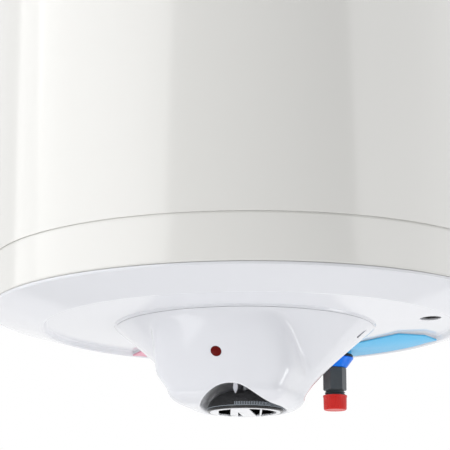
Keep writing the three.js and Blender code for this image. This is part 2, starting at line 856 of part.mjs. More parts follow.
// The dial's pocket: an egg that reaches far to the front, where it leans to the right,
// and just past the dial at the rear.
function pocketEgg(grow, sides) {
  const geometry = new THREE.SphereGeometry(1, sides, sides / 2);
  geometry.rotateX(Math.PI / 2);
  const position = geometry.getAttribute('position');
  for (let i = 0; i < position.count; i += 1) {
    const share = position.getY(i);
    const y = share * ((share < 0 ? pocketFront : pocketRear) + grow);
    const x = position.getX(i) * (pocketHalfWidth + grow) + Math.max(0, -y) * pocketLean;
    position.setXYZ(i, x, y, position.getZ(i) * (pocketHeight + grow) + hoodBottom - pocketDrop);
  }
  return toSolid(geometry);
}

function latchTab(angle) {
  const inner = hoodLipRadius - hoodWall;
  const back = tabWidth / 2;
  const foot = discLevel;
  const catchLevel = discLevel + coverWall + fit;
  const tab = block(-back, back, -hoodLipRadius + 0.8, -inner, foot, catchLevel + barbHeight);
  const barb = block(-back, back, -openingRadius - barbReach, -inner, catchLevel, catchLevel + barbHeight);
  return tab.add(barb).rotate([0, 0, angle]);
}

// Lens frame: its axis stands square on the nose's front face.
function lensFrame() {
  const level = hoodTop - lensDrop;
  const reach = hoodReach(0, lensDrop);
  const slope = (hoodReach(0, lensDrop - 3) - hoodReach(0, lensDrop + 3)) / 6;
  const tilt = 90 + THREE.MathUtils.radToDeg(Math.atan(slope));
  return (solid) => solid.rotate([tilt, 0, 0]).translate([0, -reach, level]);
}

function makeHood() {
  const skin = hoodSkin();
  let hood = skin.subtract(hoodHollow());
  hood = hood.add(rod(hoodLipRadius, hoodTop - 0.5, discLevel + 0.5, bigSides));
  hood = hood.subtract(rod(hoodLipRadius - hoodWall, hoodTop - hoodWall - 0.5, discLevel + 2, bigSides));
  for (const angle of [90 + latchAngle, -90 - latchAngle, 40, -40]) hood = hood.add(latchTab(angle));
  hood = hood.add(pocketEgg(pocketWall, 16).intersect(skin));
  hood = hood.subtract(pocketEgg(0, 24));
  const half = pointerWidth / 2;
  const shoulder = pointerHeight - half * 1.5;
  const arrow = polygonShape([[-half, 0], [half, 0], [half, shoulder], [0, pointerHeight], [-half, shoulder]]);
  const pointer = raised(arrow, -pointerThickness / 2, pointerThickness / 2).rotate([-90, 0, 0]);
  const ceiling = hoodBottom - pocketDrop + pocketHeight;
  const pointerTop = dialBottom + pointerTip + pointerHeight;
  const stalk = block(-half, half, -pointerThickness / 2, pointerThickness / 2, pointerTop - 0.5, ceiling + 1);
  hood = hood.add(pointer.translate([0, -pointerFront, pointerTop]));
  hood = hood.add(stalk.translate([0, -pointerFront, 0]));
  hood = hood.subtract(rod(spindleRadius + 2 * runningFit, dialTop, ceiling + 8, 16));
  hood = hood.subtract(lensFrame()(rod(lensRadius + fit, -9, 9)));
  const slotReach = flaredReach(latchDrop, hoodRadius, throatRadius, flareCurve, throatRound);
  const slotLevel = hoodTop - latchDrop;
  for (const side of [-1, 1]) {
    const slot = block(
      -latchSlotWidth / 2, latchSlotWidth / 2, -slotReach - 8, -slotReach + 9,
      slotLevel - latchSlotHeight / 2, slotLevel + latchSlotHeight / 2,
    );
    hood = hood.subtract(slot.rotate([0, 0, side * (90 + latchAngle)]));
  }
  return hood;
}

// ---- Dial ----

function makeDial() {
  const domeFoot = dialBottom + dialSkirt;
  const domeHeight = dialHeight - dialSkirt;
  const hubRadius = spindleRadius + 3;
  const dome = [];
  for (let i = 0; i <= 4; i += 1) {
    const angle = (Math.PI / 2) * (i / 4);
    const radius = Math.max(hubRadius, dialRadius * Math.cos(angle));
    dome.push([radius, domeFoot + domeHeight * Math.sin(angle)]);
  }
  const bore = spindleRadius + fit;
  const recess = gripRadius + fit;
  return turned([
    [0, dialBottom + gripDepth],
    [recess, dialBottom + gripDepth],
    [recess, dialBottom],
    [dialRadius - dialEdge, dialBottom],
    [dialRadius, dialBottom + dialEdge],
    ...dome,
    [bore, dialTop],
    [bore, dialTop - socketDepth],
    [0, dialTop - socketDepth],
  ], 32);
}

// A wheel whose windows leave a rim, a wide bar and two narrow ones, set into the dial's underside.
function makeGrip() {
  const top = dialBottom + gripDepth - fit;
  const bottom = dialBottom - fit;
  const inside = rod(gripRadius - gripRing, bottom - 1, top + 1, 32);
  let grip = rod(gripRadius, bottom, top, 32);
  for (const { front, rear, start } of gripWindows) {
    const corners = [[front[0], start], [front[1], start], [rear[1], gripEnd], [rear[0], gripEnd]];
    const window = raised(polygonShape(corners), bottom - 1, top + 1);
    grip = grip.subtract(window.intersect(inside));
  }
  return grip.rotate([0, 0, gripTurn]);
}

// ---- Lamp ----

function makeLens() {
  const seat = -hoodWall - 1.4;
  return lensFrame()(turned([
    [0, seat - 1.4], [lensFlange, seat - 1.4], [lensFlange, seat], [lensRadius, seat], [lensRadius, 0],
    [lensRadius * 0.8, lensProud * 0.7], [0, lensProud],
  ], smallSides));
}

function makeLamp() {
  const seat = -hoodWall - 2.8 - fit;
  return lensFrame()(turned([
    [0, seat - lampLength], [lampRadius, seat - lampLength], [lampRadius, seat - 2], [lensFlange, seat - 2],
    [lensFlange, seat], [0, seat],
  ], smallSides));
}

// ---- Water connections, each built around its own pipe axis ----

function makePipe(top) {
  return tube(pipeRadius, pipeRadius - pipeWall, pipeBottom, top);
}

function makeDiffuser() {
  const foot = coldPipeTop - 12;
  const crown = foot + diffuserHeight;
  let cup = rod(diffuserRadius, foot, crown).subtract(rod(pipeRadius + fit, foot - 1, crown - 2));
  const window = block(-diffuserRadius - 1, diffuserRadius + 1, -5, 5, coldPipeTop + 2, crown - 4);
  cup = cup.subtract(window);
  return cup;
}

// A coloured plate between the cover's boss and the washer; side is +1 for cold and -1 for hot.
function makeMarkerPlate(side, corners) {
  const [lastSide] = corners.at(-1);
  const start = Math.asin(lastSide / markerRadius);
  const end = Math.asin(markerGap / 2 / markerRadius);
  const points = [[markerGap / 2, markerInnerFront], [pipeSpread + bossRadius, markerFront], ...corners];
  for (let i = 1; i <= 8; i += 1) {
    const angle = start + ((end - start) * i) / 8;
    points.push([markerRadius * Math.sin(angle), markerRadius * Math.cos(angle)]);
  }
  const plate = raised(polygonShape(points.map(([x, y]) => [side * x, y])), rimLevel, markerTop);
  const collar = rod(bossRadius, rimLevel - markerCollar, rimLevel + 0.5, midSides);
  const hole = rod(pipeRadius + 2 * holeFit, rimLevel - markerCollar - 1, markerTop + 1);
  const middle = [side * pipeSpread, pipeBack, 0];
  return plate.add(collar.translate(middle)).subtract(hole.translate(middle));
}

function makeWasher() {
  return tube(washerRadius, pipeRadius + fit, washerTop - washerThickness, washerTop);
}

function makeRosette() {
  const bore = pipeRadius + fit;
  return turned([
    [bore, rosetteBottom], [rosetteBottomRadius, rosetteBottom], [rosetteTopRadius, rosetteTop],
    [rosetteTopRadius - rosetteWall, rosetteTop], [rosetteBottomRadius - 1, rosetteBottom + rosetteWall],
    [bore, rosetteBottom + rosetteWall], [bore, rosetteBottom],
  ], midSides);
}

function makeNipple() {
  const spigotBottom = hexBottom - spigotLength;
  const spigot = [[0, hexBottom + 1], [threadRoot, hexBottom + 1], [threadRoot, hexBottom - 0.4]];
  for (let turn = 0; turn < threadTurns; turn += 1) {
    const level = hexBottom - 0.4 - threadPitch * turn;
    spigot.push([threadRadius, level - threadPitch * 0.4], [threadRoot, level - threadPitch * 0.9]);
  }
  spigot.push([threadRadius - 0.1, capTop - 1], [threadRadius - 0.1, spigotBottom + 1]);
  spigot.push([threadRoot, spigotBottom], [0, spigotBottom]);
  const hexagon = raised(regularPolygon(nippleFlats, 6), hexBottom, nippleTop).rotate([0, 0, nippleTurn]);
  return hexagon
    .add(turned(spigot, smallSides))
    .subtract(rod(nippleBore, spigotBottom - 1, nippleTop + 1))
    .subtract(rod(pipeRadius + fit, pipeBottom - fit, nippleTop + 1));
}

function makeCap() {
  const bottom = capTop - capLength;
  return turned([
    [0, bottom], [capOuter - 0.7, bottom], [capOuter - 0.2, bottom + 0.7], [capOuter, capTop - capFlangeHeight],
    [capFlange, capTop - capFlangeHeight], [capFlange, capTop], [capInner, capTop],
    [capInner, bottom + capBottom], [0, bottom + capBottom],
  ], 12);
}

// ---- Wall parts ----

function makeBracket() {
  const legFoot = Math.sqrt(tankRadius ** 2 - (bracketHalfWidth - bracketThickness) ** 2) + fit;
  const half = bracketHalfWidth;
  const inner = half - bracketThickness;
  const webFront = wallPlane - bracketThickness;
  const outline = polygonShape([
    [-half, wallPlane], [-half, legFoot], [-inner, legFoot], [-inner, webFront],
    [inner, webFront], [inner, legFoot], [half, legFoot], [half, wallPlane],
  ]);
  let bracket = raised(outline, hangHeight - bracketHeight / 2, hangHeight + bracketHeight / 2);
  for (const side of [-1, 1]) {
    const x = side * hookSpread;
    const slot = block(
      x - hookWidth / 2, x + hookWidth / 2, webFront - 1, wallPlane + 1,
      hangHeight - hookLength / 2, hangHeight + hookLength / 2,
    );
    bracket = bracket.subtract(slot);
  }
  return bracket;
}

function makeSpacer() {
  const low = spacerLevel - spacerHeight / 2;
  const high = spacerLevel + spacerHeight / 2;
  const body = block(-spacerHalfWidth, spacerHalfWidth, jacketRadius * 0.9, wallPlane, low, high);
  return body.subtract(rod(jacketRadius + fit, low - 1, high + 1, 2 * bigSides));
}

// ---- Inside wiring ----

function makeTerminalBlock() {
  const low = discLevel + coverWall + fit;
  const near = blockPlace - blockLength / 2;
  let terminals = block(near, near + blockLength, -blockWidth / 2, blockWidth / 2, low, low + blockHeight);
  for (const y of wireRows()) {
    const well = rod(2.2, low + blockHeight - 4, low + blockHeight + 1, 10);
    terminals = terminals.subtract(well.translate([blockPlace, y, 0]));
  }
  return terminals;
}

function wireRows() {
  return [-blockWidth / 3, 0, blockWidth / 3];
}

function makeSupplyWires() {
  const start = blockPlace - blockLength / 2 - fit;
  const bend = start - wireStraight;
  const level = discLevel + coverWall + fit + blockHeight / 2;
  const rows = wireRows();
  const side = thermostatWidth / 2 + fit;
  const entry = thermostatBottom + entryHeight;
  const low = underPlate - terminalLength - wireDrop;
  const bendPoint = ([x, y, down]) => [x, y - controlOffset, low - down];
  const live = wirePath([
    [start, rows[1], level],
    [bend, rows[1], level],
    bendPoint(liveBend),
    [side + entryRun, liveEntry - controlOffset, entry],
    [side, liveEntry - controlOffset, entry],
  ]);
  const neutral = wirePath([
    [start, rows[2], level],
    [bend, rows[2], level],
    bendPoint(neutralBend),
    [side + entryRun, neutralEntry - controlOffset, entry],
    [side, neutralEntry - controlOffset, entry],
  ]);
  const stud = [-earthSide, -earthFront - controlOffset];
  const earth = wirePath([
    [start, rows[0], level],
    [bend, rows[0], level],
    bendPoint(earthBend),
    [0, stud[1] - earthLoop, low - earthBend[2]],
    [...stud, low - earthDip],
    [...stud, plateBottom - terminalLength - fit],
  ]);
  place('wire_live', swept(live, wireRadius, 18, 6), 'brown');
  place('wire_neutral', swept(neutral, wireRadius, 18, 6), 'blue');
  place('wire_earth', swept(earth, wireRadius, 30, 6), 'green');
}

// ---- Everything in its place ----

place('jacket', makeJacket(), 'cream');
place('top_cap', makeTopCap(), 'cream');
place('lower_pan', makeLowerPan(), 'cream');
place('foam_insulation', makeFoam(), 'foam');

place('tank_shell', makeTankShell(), 'enamel');
place('tank_top_dome', dishedEnd(), 'enamel', [0, 0, tankUpper + fit / 2]);
place('tank_bottom_dome', makeBottomDome(), 'enamel');

place('flange_gasket', makeGasket(), 'rubber', controlAxis);
place('flange_plate', makeFlangePlate(), 'steel', controlAxis);
for (let i = 0; i < studCount; i += 1) {
  place(`flange_nut_${i + 1}`, makeNut(studRadius), 'steel', [...studPlace(i), 0]);
}
place('heating_element', makeElement(), 'copper', controlAxis);
place('thermowell', makeThermowell(), 'copper', controlAxis);
place('magnesium_anode', makeAnode(), 'magnesium', [0, -controlOffset - anodeFront, 0]);
place('anode_nut', makeNut(anodeStud), 'steel', [0, -controlOffset - anodeFront, 0]);
place('thermostat_body', makeThermostat(), 'darkGrey', controlAxis);
place('thermostat_spindle', makeSpindle(), 'steel', controlAxis);
place('reset_button', makeButton(), 'red', [buttonSide, buttonBack - controlOffset, 0]);

place('bottom_cover', makeBottomCover(), 'coolWhite');
place('cover_screw_left', makeCoverScrew(), 'steel', [...coverScrewPlace(-1), 0]);
place('cover_screw_right', makeCoverScrew(), 'steel', [...coverScrewPlace(1), 0]);
place('cable_grommet', makeGrommet(), 'rubber', [cableHolePlace, 0, 0]);

place('hood', makeHood(), 'coolWhite', controlAxis);
place('dial', makeDial(), 'black', controlAxis);
place('dial_grip', makeGrip(), 'coolWhite', controlAxis);
place('led_lens', makeLens(), 'lens', controlAxis);
place('indicator_lamp', makeLamp(), 'darkGrey', controlAxis);

for (const [name, x] of Object.entries(sidesOfPipes)) {
  const axis = [x, pipeBack, 0];
  const colour = name === 'cold' ? 'blue' : 'red';
  const { corners } = name === 'cold' ? coldMarker : hotMarker;
  const plateColour = name === 'cold' ? 'lightBlue' : 'lightRed';
  place(`${name}_side_plate`, makeMarkerPlate(Math.sign(x), corners), plateColour);
  place(`${name}_washer`, makeWasher(), 'rubber', axis);
  place(`${name}_rosette`, makeRosette(), colour, axis);
  place(`${name}_nipple`, makeNipple(), 'darkGrey', axis);
  place(`${name}_cap`, makeCap(), 'red', axis);
}
place('cold_inlet_pipe', makePipe(coldPipeTop), 'steel', [sidesOfPipes.cold, pipeBack, 0]);
place('cold_diffuser', makeDiffuser(), 'coolWhite', [sidesOfPipes.cold, pipeBack, 0]);
place('hot_outlet_pipe', makePipe(hotPipeTop), 'steel', [sidesOfPipes.hot, pipeBack, 0]);

place('wall_bracket', makeBracket(), 'steel');
place('lower_wall_spacer', makeSpacer(), 'black');

place('terminal_block', makeTerminalBlock(), 'coolWhite');
makeSupplyWires();

const model = new THREE.Group();
model.add(heater);

export default model;
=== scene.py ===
# Wall-hung electric water heater seen from below: every outer piece gets its fine mesh here, and every piece
# gets its finish.
# Lengths are in metres, in the imported model's frame: +Z up, -Y towards the room, the wall at Y = 0.
# Levels inside the dictionaries are measured up from the parting line between the jacket and its pan.
import math

import bmesh
import bpy
import numpy as np
from mathutils import Matrix, Vector


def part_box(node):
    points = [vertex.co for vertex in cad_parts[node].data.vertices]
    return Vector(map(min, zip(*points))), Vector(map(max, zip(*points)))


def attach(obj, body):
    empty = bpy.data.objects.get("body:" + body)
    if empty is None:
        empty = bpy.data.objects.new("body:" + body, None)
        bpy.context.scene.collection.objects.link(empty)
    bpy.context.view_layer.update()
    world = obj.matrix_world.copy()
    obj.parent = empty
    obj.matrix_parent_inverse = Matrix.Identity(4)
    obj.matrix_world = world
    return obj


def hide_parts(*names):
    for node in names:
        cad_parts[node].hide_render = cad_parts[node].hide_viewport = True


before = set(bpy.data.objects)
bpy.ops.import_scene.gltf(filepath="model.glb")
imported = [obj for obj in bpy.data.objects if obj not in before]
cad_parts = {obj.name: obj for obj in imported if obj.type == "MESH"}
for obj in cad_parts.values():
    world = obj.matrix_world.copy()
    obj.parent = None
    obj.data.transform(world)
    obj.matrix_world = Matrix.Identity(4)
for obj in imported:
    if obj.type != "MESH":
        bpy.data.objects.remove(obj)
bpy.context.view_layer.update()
mm = 0.001
fixedBody = "heater_body"

seamGap = 1.8  # between the jacket and the pan, with the parting line half way
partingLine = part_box("jacket")[0].z - seamGap / 2 * mm
print("frame loaded:", len(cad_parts), "nodes")


def axisOf(node):
    low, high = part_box(node)
    return Vector(((low.x + high.x) / 2, (low.y + high.y) / 2, 0))


def footOf(node):
    return (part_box(node)[0].z - partingLine) / mm


def topOf(node):
    return (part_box(node)[1].z - partingLine) / mm


plateThickness = 1.6  # the coloured plates lie on the cover's rim
grommetLift = 0.2  # the cable inlet stands this far inside the cover's disc
tankAxis = axisOf("jacket")
controlAxis = axisOf("dial")
outerRadius = (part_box("jacket")[1].x - tankAxis.x) / mm
jacketTop = topOf("jacket")
panFoot = footOf("lower_pan")
rimLevel = topOf("cold_side_plate") - plateThickness
discLevel = footOf("cable_grommet") - grommetLift
plinthLevel = footOf("bottom_cover")
hoodBottom = footOf("hood")
dialBottom = footOf("dial")
hoodSides = 192  # round the control axis; the small round pieces take 96
bodySides = 288  # round the tank's axis


def level(height):
    return partingLine + height * mm


# A point beside an axis, in millimetres across and behind it.
def beside(axis, x, y=0.0):
    return axis + Vector((x * mm, y * mm, 0))


# A point round an axis; angle 0 is in front.
def around(axis, reach, angle, height):
    return (axis.x + reach * mm * math.sin(angle), axis.y - reach * mm * math.cos(angle), level(height))


def placed(name, data):
    made = bpy.data.objects.new(name, data)
    bpy.context.scene.collection.objects.link(made)
    return made


def meshObject(name, points, faces):
    mesh = bpy.data.meshes.new(name)
    mesh.from_pydata(points, [], faces)
    mesh.validate()
    made = placed(name, mesh)
    tidy = bmesh.new()
    tidy.from_mesh(mesh)
    bmesh.ops.remove_doubles(tidy, verts=tidy.verts, dist=1e-7)
    bmesh.ops.recalc_face_normals(tidy, faces=tidy.faces)
    tidy.to_mesh(mesh)
    tidy.free()
    return made


# Edges sharper than these degrees stay crisp.
def finish(made, material, node, body=fixedBody, degrees=32):
    made.data.materials.clear()
    made.data.materials.append(material)
    made.data.polygons.foreach_set("material_index", [0] * len(made.data.polygons))
    made.data.shade_smooth()
    made.data.set_sharp_from_angle(angle=math.radians(degrees))
    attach(made, body)
    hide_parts(node)


# Corners are (radius, height) or (radius, height, easing): an easing turns the corner into an arc.
def eased(corners, steps=5):
    closed = corners[0][:2] == corners[-1][:2]
    ring = corners[:-1] if closed else corners
    out = []
    for index, corner in enumerate(ring):
        here = Vector(corner[:2])
        easing = corner[2] if len(corner) > 2 else 0
        inner = closed or 0 < index < len(ring) - 1
        if not easing or not inner:
            out.append(here)
            continue
        before = Vector(ring[index - 1][:2]) - here
        after = Vector(ring[(index + 1) % len(ring)][:2]) - here
        half = before.angle(after) / 2
        reach = min(easing / math.tan(half), before.length * 0.49, after.length * 0.49)
        start = here + before.normalized() * reach
        end = here + after.normalized() * reach
        for step in range(steps + 1):
            share = step / steps
            out.append(start * (1 - share) ** 2 + here * 2 * share * (1 - share) + end * share ** 2)
    if closed:
        out.append(out[0].copy())
    return [(point.x, point.y) for point in out]


# The faces over rows of points. Each row closes on itself, and so do the rows if closed.
def gridFaces(rows, width, closed=True):
    faces = []
    for row in range(rows if closed else rows - 1):
        here, following = row * width, (row + 1) % rows * width
        for side in range(width):
            after = (side + 1) % width
            faces.append((here + side, here + after, following + after, following + side))
    return faces


# A profile in millimetres turned about an upright axis. It closes on itself, or starts and ends on
# the axis. The shape, if any, gives the radius at (radius, height, angle).
def turnedObject(name, corners, axis, sides=96, steps=5, shape=None):
    profile = eased(corners, steps)
    closed = profile[0] == profile[-1]
    if closed:
        profile = profile[:-1]
    points = []
    for radius, height in profile:
        for side in range(sides):
            angle = 2 * math.pi * side / sides
            reach = shape(radius, height, angle) if shape else radius
            points.append(around(axis, reach, angle, height))
    return meshObject(name, points, gridFaces(len(profile), sides, closed))


def bevelled(made, edges, offset, segments=3):
    solid = bmesh.new()
    solid.from_mesh(made.data)
    chosen = [edge for edge in solid.edges if edges(edge)]
    bmesh.ops.bevel(solid, geom=chosen, offset=offset * mm, segments=segments, profile=0.5, affect="EDGES")
    solid.to_mesh(made.data)
    solid.free()
    return made


def isRim(edge):
    return abs(edge.verts[0].co.z - edge.verts[1].co.z) < 1e-9


def isCorner(edge):
    return len(edge.link_faces) == 2 and edge.calc_face_angle() > math.radians(35)


# An outline of (x, y) in millimetres about a place, raised from low to high.
def raisedObject(name, outline, low, high, place, edge=0.0, edges=isRim):
    across = [(place.x + x * mm, place.y + y * mm) for x, y in outline]
    points = [(x, y, level(height)) for height in (low, high) for x, y in across]
    count = len(outline)
    faces = [tuple(range(count)), tuple(range(2 * count - 1, count - 1, -1))]
    for index in range(count):
        after = (index + 1) % count
        faces.append((index, after, count + after, count + index))
    made = meshObject(name, points, faces)
    return bevelled(made, edges, edge) if edge else made


def boxOutline(lowX, highX, lowY, highY):
    return [(lowX, lowY), (highX, lowY), (highX, highY), (lowX, highY)]


def arcPoints(radius, start, end, count, x=0.0, y=0.0):
    angles = [math.radians(start + (end - start) * index / (count - 1)) for index in range(count)]
    return [(x + radius * math.sin(angle), y + radius * math.cos(angle)) for angle in angles]


def joined(objects):
    first = objects[0]
    solid = bmesh.new()
    for one in objects:
        solid.from_mesh(one.data)
    solid.to_mesh(first.data)
    solid.free()
    for other in objects[1:]:
        bpy.data.objects.remove(other)
    return first


def combined(made, tools, operation="DIFFERENCE"):
    tool = joined(tools)
    change = made.modifiers.new("shape", "BOOLEAN")
    change.operation = operation
    change.solver = "EXACT"
    change.object = tool
    bpy.context.view_layer.update()
    graph = bpy.context.evaluated_depsgraph_get()
    result = bpy.data.meshes.new_from_object(made.evaluated_get(graph))
    made.modifiers.clear()
    old = made.data
    made.data = result
    bpy.data.meshes.remove(old)
    bpy.data.objects.remove(tool)
    return made


def rod(radius, low, high, axis, sides=64):
    return turnedObject("rod", [(0, low), (radius, low), (radius, high), (0, high)], axis, sides)


def turnedBy(made, degrees, axis):
    turn = Matrix.Rotation(math.radians(degrees), 4, "Z")
    made.data.transform(Matrix.Translation(axis) @ turn @ Matrix.Translation(-axis))
    return made


# Moves a piece that was made round the origin to its place, tipped about the X axis.
def stoodAt(made, place, tilt):
    stand = Matrix.Rotation(tilt, 4, "X") @ Matrix.Translation((0, 0, -partingLine))
    made.data.transform(Matrix.Translation(place) @ stand)
    return made


def newMaterial(name, colour, roughness, **extra):
    material = bpy.data.materials.new(name)
    material.use_nodes = True
    shader = material.node_tree.nodes["Principled BSDF"]
    shader.inputs["Base Color"].default_value = (*colour, 1)
    shader.inputs["Roughness"].default_value = roughness
    for socket, value in extra.items():
        shader.inputs[socket.replace("_", " ")].default_value = value
    return material, material.node_tree, shader


def addNode(tree, kind, links=(), **values):
    node = tree.nodes.new(kind)
    for key, value in values.items():
        if hasattr(node, key):
            setattr(node, key, value)
        else:
            node.inputs[key.replace("_", " ")].default_value = value
    for socket, source in dict(links).items():
        tree.links.new(source, node.inputs[socket])
    return node


def objectCoordinates(tree):
    return addNode(tree, "ShaderNodeTexCoord").outputs["Object"]


def noise(tree, place, **values):
    return addNode(tree, "ShaderNodeTexNoise", {"Vector": place}, **values).outputs["Fac"]


def addBump(tree, shader, height, strength, distance, onto=None):
    bump = addNode(tree, "ShaderNodeBump", {"Height": height}, Strength=strength, Distance=distance)
    if onto:
        tree.links.new(onto, bump.inputs["Normal"])
    tree.links.new(bump.outputs["Normal"], shader.inputs["Normal"])
    return bump.outputs["Normal"]


def varyRoughness(tree, shader, source, low, high):
    spread = addNode(tree, "ShaderNodeMapRange", {"Value": source}, To_Min=low, To_Max=high)
    tree.links.new(spread.outputs["Result"], shader.inputs["Roughness"])


def varyColour(tree, shader, source, first, second):
    mix = addNode(tree, "ShaderNodeMix", data_type="RGBA")
    tree.links.new(source, mix.inputs["Factor"])
    mix.inputs["A"].default_value = (*first, 1)
    mix.inputs["B"].default_value = (*second, 1)
    tree.links.new(mix.outputs["Result"], shader.inputs["Base Color"])


# Powder-coated sheet: orange peel, a slow wave in the sheet, and hardly any change of tone.
def stovedEnamel(name, colour, shade, roughness):
    material, tree, shader = newMaterial(name, colour, roughness, IOR=1.5)
    place = objectCoordinates(tree)
    varyColour(tree, shader, noise(tree, place, Scale=3.0, Detail=2.0), colour, shade)
    peel = noise(tree, place, Scale=420.0, Detail=1.0)
    varyRoughness(tree, shader, peel, roughness * 0.8, roughness * 1.2)
    first = addBump(tree, shader, peel, 0.05, 0.00006)
    addBump(tree, shader, noise(tree, place, Scale=7.0, Detail=0.0), 0.08, 0.0012, first)
    return material


# Injection moulding: a faint flow tone, fine grain and small changes of gloss.
def mouldedPlastic(name, colour, shade, roughness, grain=900.0, depth=0.00002, **extra):
    material, tree, shader = newMaterial(name, colour, roughness, IOR=1.49, **extra)
    place = objectCoordinates(tree)
    flow = noise(tree, place, Scale=14.0, Detail=3.0, Distortion=0.6)
    varyColour(tree, shader, flow, colour, shade)
    fine = noise(tree, place, Scale=grain, Detail=2.0)
    varyRoughness(tree, shader, fine, roughness * 0.75, roughness * 1.25)
    addBump(tree, shader, fine, 0.15, depth)
    return material


# Drawn or plated metal: streaks along its length and a mottled gloss.
def workedMetal(name, colour, roughness, stretch=(60, 60, 900), **extra):
    material, tree, shader = newMaterial(name, colour, roughness, Metallic=1.0, **extra)
    place = objectCoordinates(tree)
    along = addNode(tree, "ShaderNodeMapping", {"Vector": place})
    along.inputs["Scale"].default_value = stretch
    streak = noise(tree, along.outputs["Vector"], Scale=1.0, Detail=3.0)
    varyRoughness(tree, shader, streak, roughness * 0.7, roughness * 1.4)
    darker = tuple(channel * 0.8 for channel in colour)
    varyColour(tree, shader, streak, darker, colour)
    addBump(tree, shader, streak, 0.12, 0.00004)
    return material


creamEnamel = stovedEnamel("cream_enamel", (0.80, 0.795, 0.77), (0.785, 0.78, 0.755), 0.14)
coolWhite = mouldedPlastic("cool_white_plastic", (0.78, 0.79, 0.83), (0.765, 0.775, 0.815), 0.1)
blackGloss = mouldedPlastic("black_gloss", (0.012, 0.012, 0.013), (0.018, 0.018, 0.019), 0.14)
deepBlack = mouldedPlastic("deep_black", (0.004, 0.004, 0.004), (0.006, 0.006, 0.006), 0.8,
                           Specular_IOR_Level=0.0)
blackSatin = mouldedPlastic("black_plastic", (0.02, 0.021, 0.023), (0.03, 0.031, 0.033), 0.45)
scalePrint = mouldedPlastic("scale_print", (0.5, 0.56, 0.62), (0.46, 0.52, 0.58), 0.4)
darkPlastic = mouldedPlastic("dark_plastic", (0.05, 0.055, 0.06), (0.035, 0.038, 0.042), 0.5, 500.0, 0.00005)
blackRubber = mouldedPlastic("black_rubber", (0.012, 0.012, 0.013), (0.02, 0.02, 0.021), 0.7, 400.0, 0.00008)
blackCoated = mouldedPlastic("black_coated_steel", (0.035, 0.042, 0.047), (0.05, 0.058, 0.064), 0.35,
                             300.0, 0.00008)
brightBlue = mouldedPlastic("bright_blue", (0.0, 0.2, 0.9), (0.0, 0.17, 0.82), 0.3,
                            Specular_IOR_Level=0.2)
brightRed = mouldedPlastic("bright_red", (0.7, 0.022, 0.018), (0.64, 0.018, 0.014), 0.3,
                           Specular_IOR_Level=0.25)
paleBlue = mouldedPlastic("pale_blue", (0.11, 0.5, 0.82), (0.14, 0.54, 0.86), 0.3, Specular_IOR_Level=0.05)
paleRed = mouldedPlastic("pale_red", (0.8, 0.3, 0.42), (0.84, 0.35, 0.46), 0.3, Specular_IOR_Level=0.15)
redLens = mouldedPlastic("red_lens", (0.12, 0.003, 0.0025), (0.14, 0.005, 0.003), 0.2, 600.0, 0.00001,
                         Specular_IOR_Level=0.1)
zincSteel = workedMetal("zinc_steel", (0.6, 0.61, 0.63), 0.35)
copper = workedMetal("copper", (0.7, 0.32, 0.18), 0.3)
magnesium = workedMetal("magnesium", (0.5, 0.51, 0.52), 0.55)
blueEnamel = mouldedPlastic("blue_enamel", (0.02, 0.06, 0.13), (0.03, 0.08, 0.17), 0.25, 300.0, 0.0001)
paleFoam = mouldedPlastic("pale_foam", (0.75, 0.66, 0.36), (0.68, 0.58, 0.3), 0.9, 250.0, 0.0008)
brownWire = mouldedPlastic("brown_wire", (0.14, 0.06, 0.03), (0.17, 0.08, 0.04), 0.4)
blueWire = mouldedPlastic("blue_wire", (0.02, 0.1, 0.5), (0.03, 0.12, 0.55), 0.4)
greenWire = mouldedPlastic("green_wire", (0.2, 0.45, 0.05), (0.25, 0.5, 0.06), 0.4)
whitePolyamide = mouldedPlastic("white_polyamide", (0.72, 0.72, 0.68), (0.68, 0.68, 0.64), 0.45)
print("finishes made:", len(bpy.data.materials))


# The sheet metal body: jacket, top cap and the pan that closes it below.
jacket = {
    "wall": 1.0,
    "edge": 0.4,
    "seamTurn": 145,
    "seamWidth": 9,
    "seamProud": 0.8,
    "legLow": 469.7,
    "legHigh": 530.3,
    "legInner": 107.7,
    "legOuter": 111.3,
}


def makeJacket():
    inner, foot = outerRadius - jacket["wall"], seamGap / 2
    edge = jacket["edge"]
    made = turnedObject("jacket_sheet", [
        (inner, foot, edge), (outerRadius, foot, edge), (outerRadius, jacketTop, edge),
        (inner, jacketTop, edge), (inner, foot),
    ], tankAxis, bodySides)
    slots = []
    for side in (-1, 1):
        across = sorted((side * jacket["legInner"], side * jacket["legOuter"]))
        outline = boxOutline(*across, 150, outerRadius + 5)
        slots.append(raisedObject("leg_slot", outline, jacket["legLow"], jacket["legHigh"], tankAxis))
    finish(combined(made, slots), creamEnamel, "jacket")
    half = jacket["seamWidth"] / 2
    outline = boxOutline(-half, half, outerRadius - 0.5, outerRadius + jacket["seamProud"])
    seam = raisedObject("jacket_lock_seam", outline, foot + 1, jacketTop - 1, tankAxis, 0.5, isCorner)
    finish(turnedBy(seam, jacket["seamTurn"] - 180, tankAxis), creamEnamel, "jacket")


topCap = {
    "foot": 0.3,
    "round": 12,
    "crown": 5,
    "lip": 1.3,
    "lipHeight": 12,
    "wall": 1.0,
}


def makeTopCap():
    foot = jacketTop + topCap["foot"]
    shoulder = outerRadius - topCap["round"]
    rise = foot + topCap["round"]
    crown, wall = topCap["crown"], topCap["wall"]
    lip, lipFoot = outerRadius - topCap["lip"], foot - topCap["lipHeight"]
    made = turnedObject("top_cap_pressing", [
        (0, rise + crown), (shoulder / 2, rise + crown * 0.75), (shoulder, rise, 12),
        (outerRadius - 3.5, foot + 8.5, 8), (outerRadius, foot, 0.3), (lip, foot), (lip, lipFoot),
        (lip - wall, lipFoot), (lip - wall, foot + wall), (shoulder, rise - wall, 10),
        (shoulder / 2, rise + crown * 0.75 - wall), (0, rise + crown - wall),
    ], tankAxis, bodySides, 10)
    finish(made, creamEnamel, "top_cap")


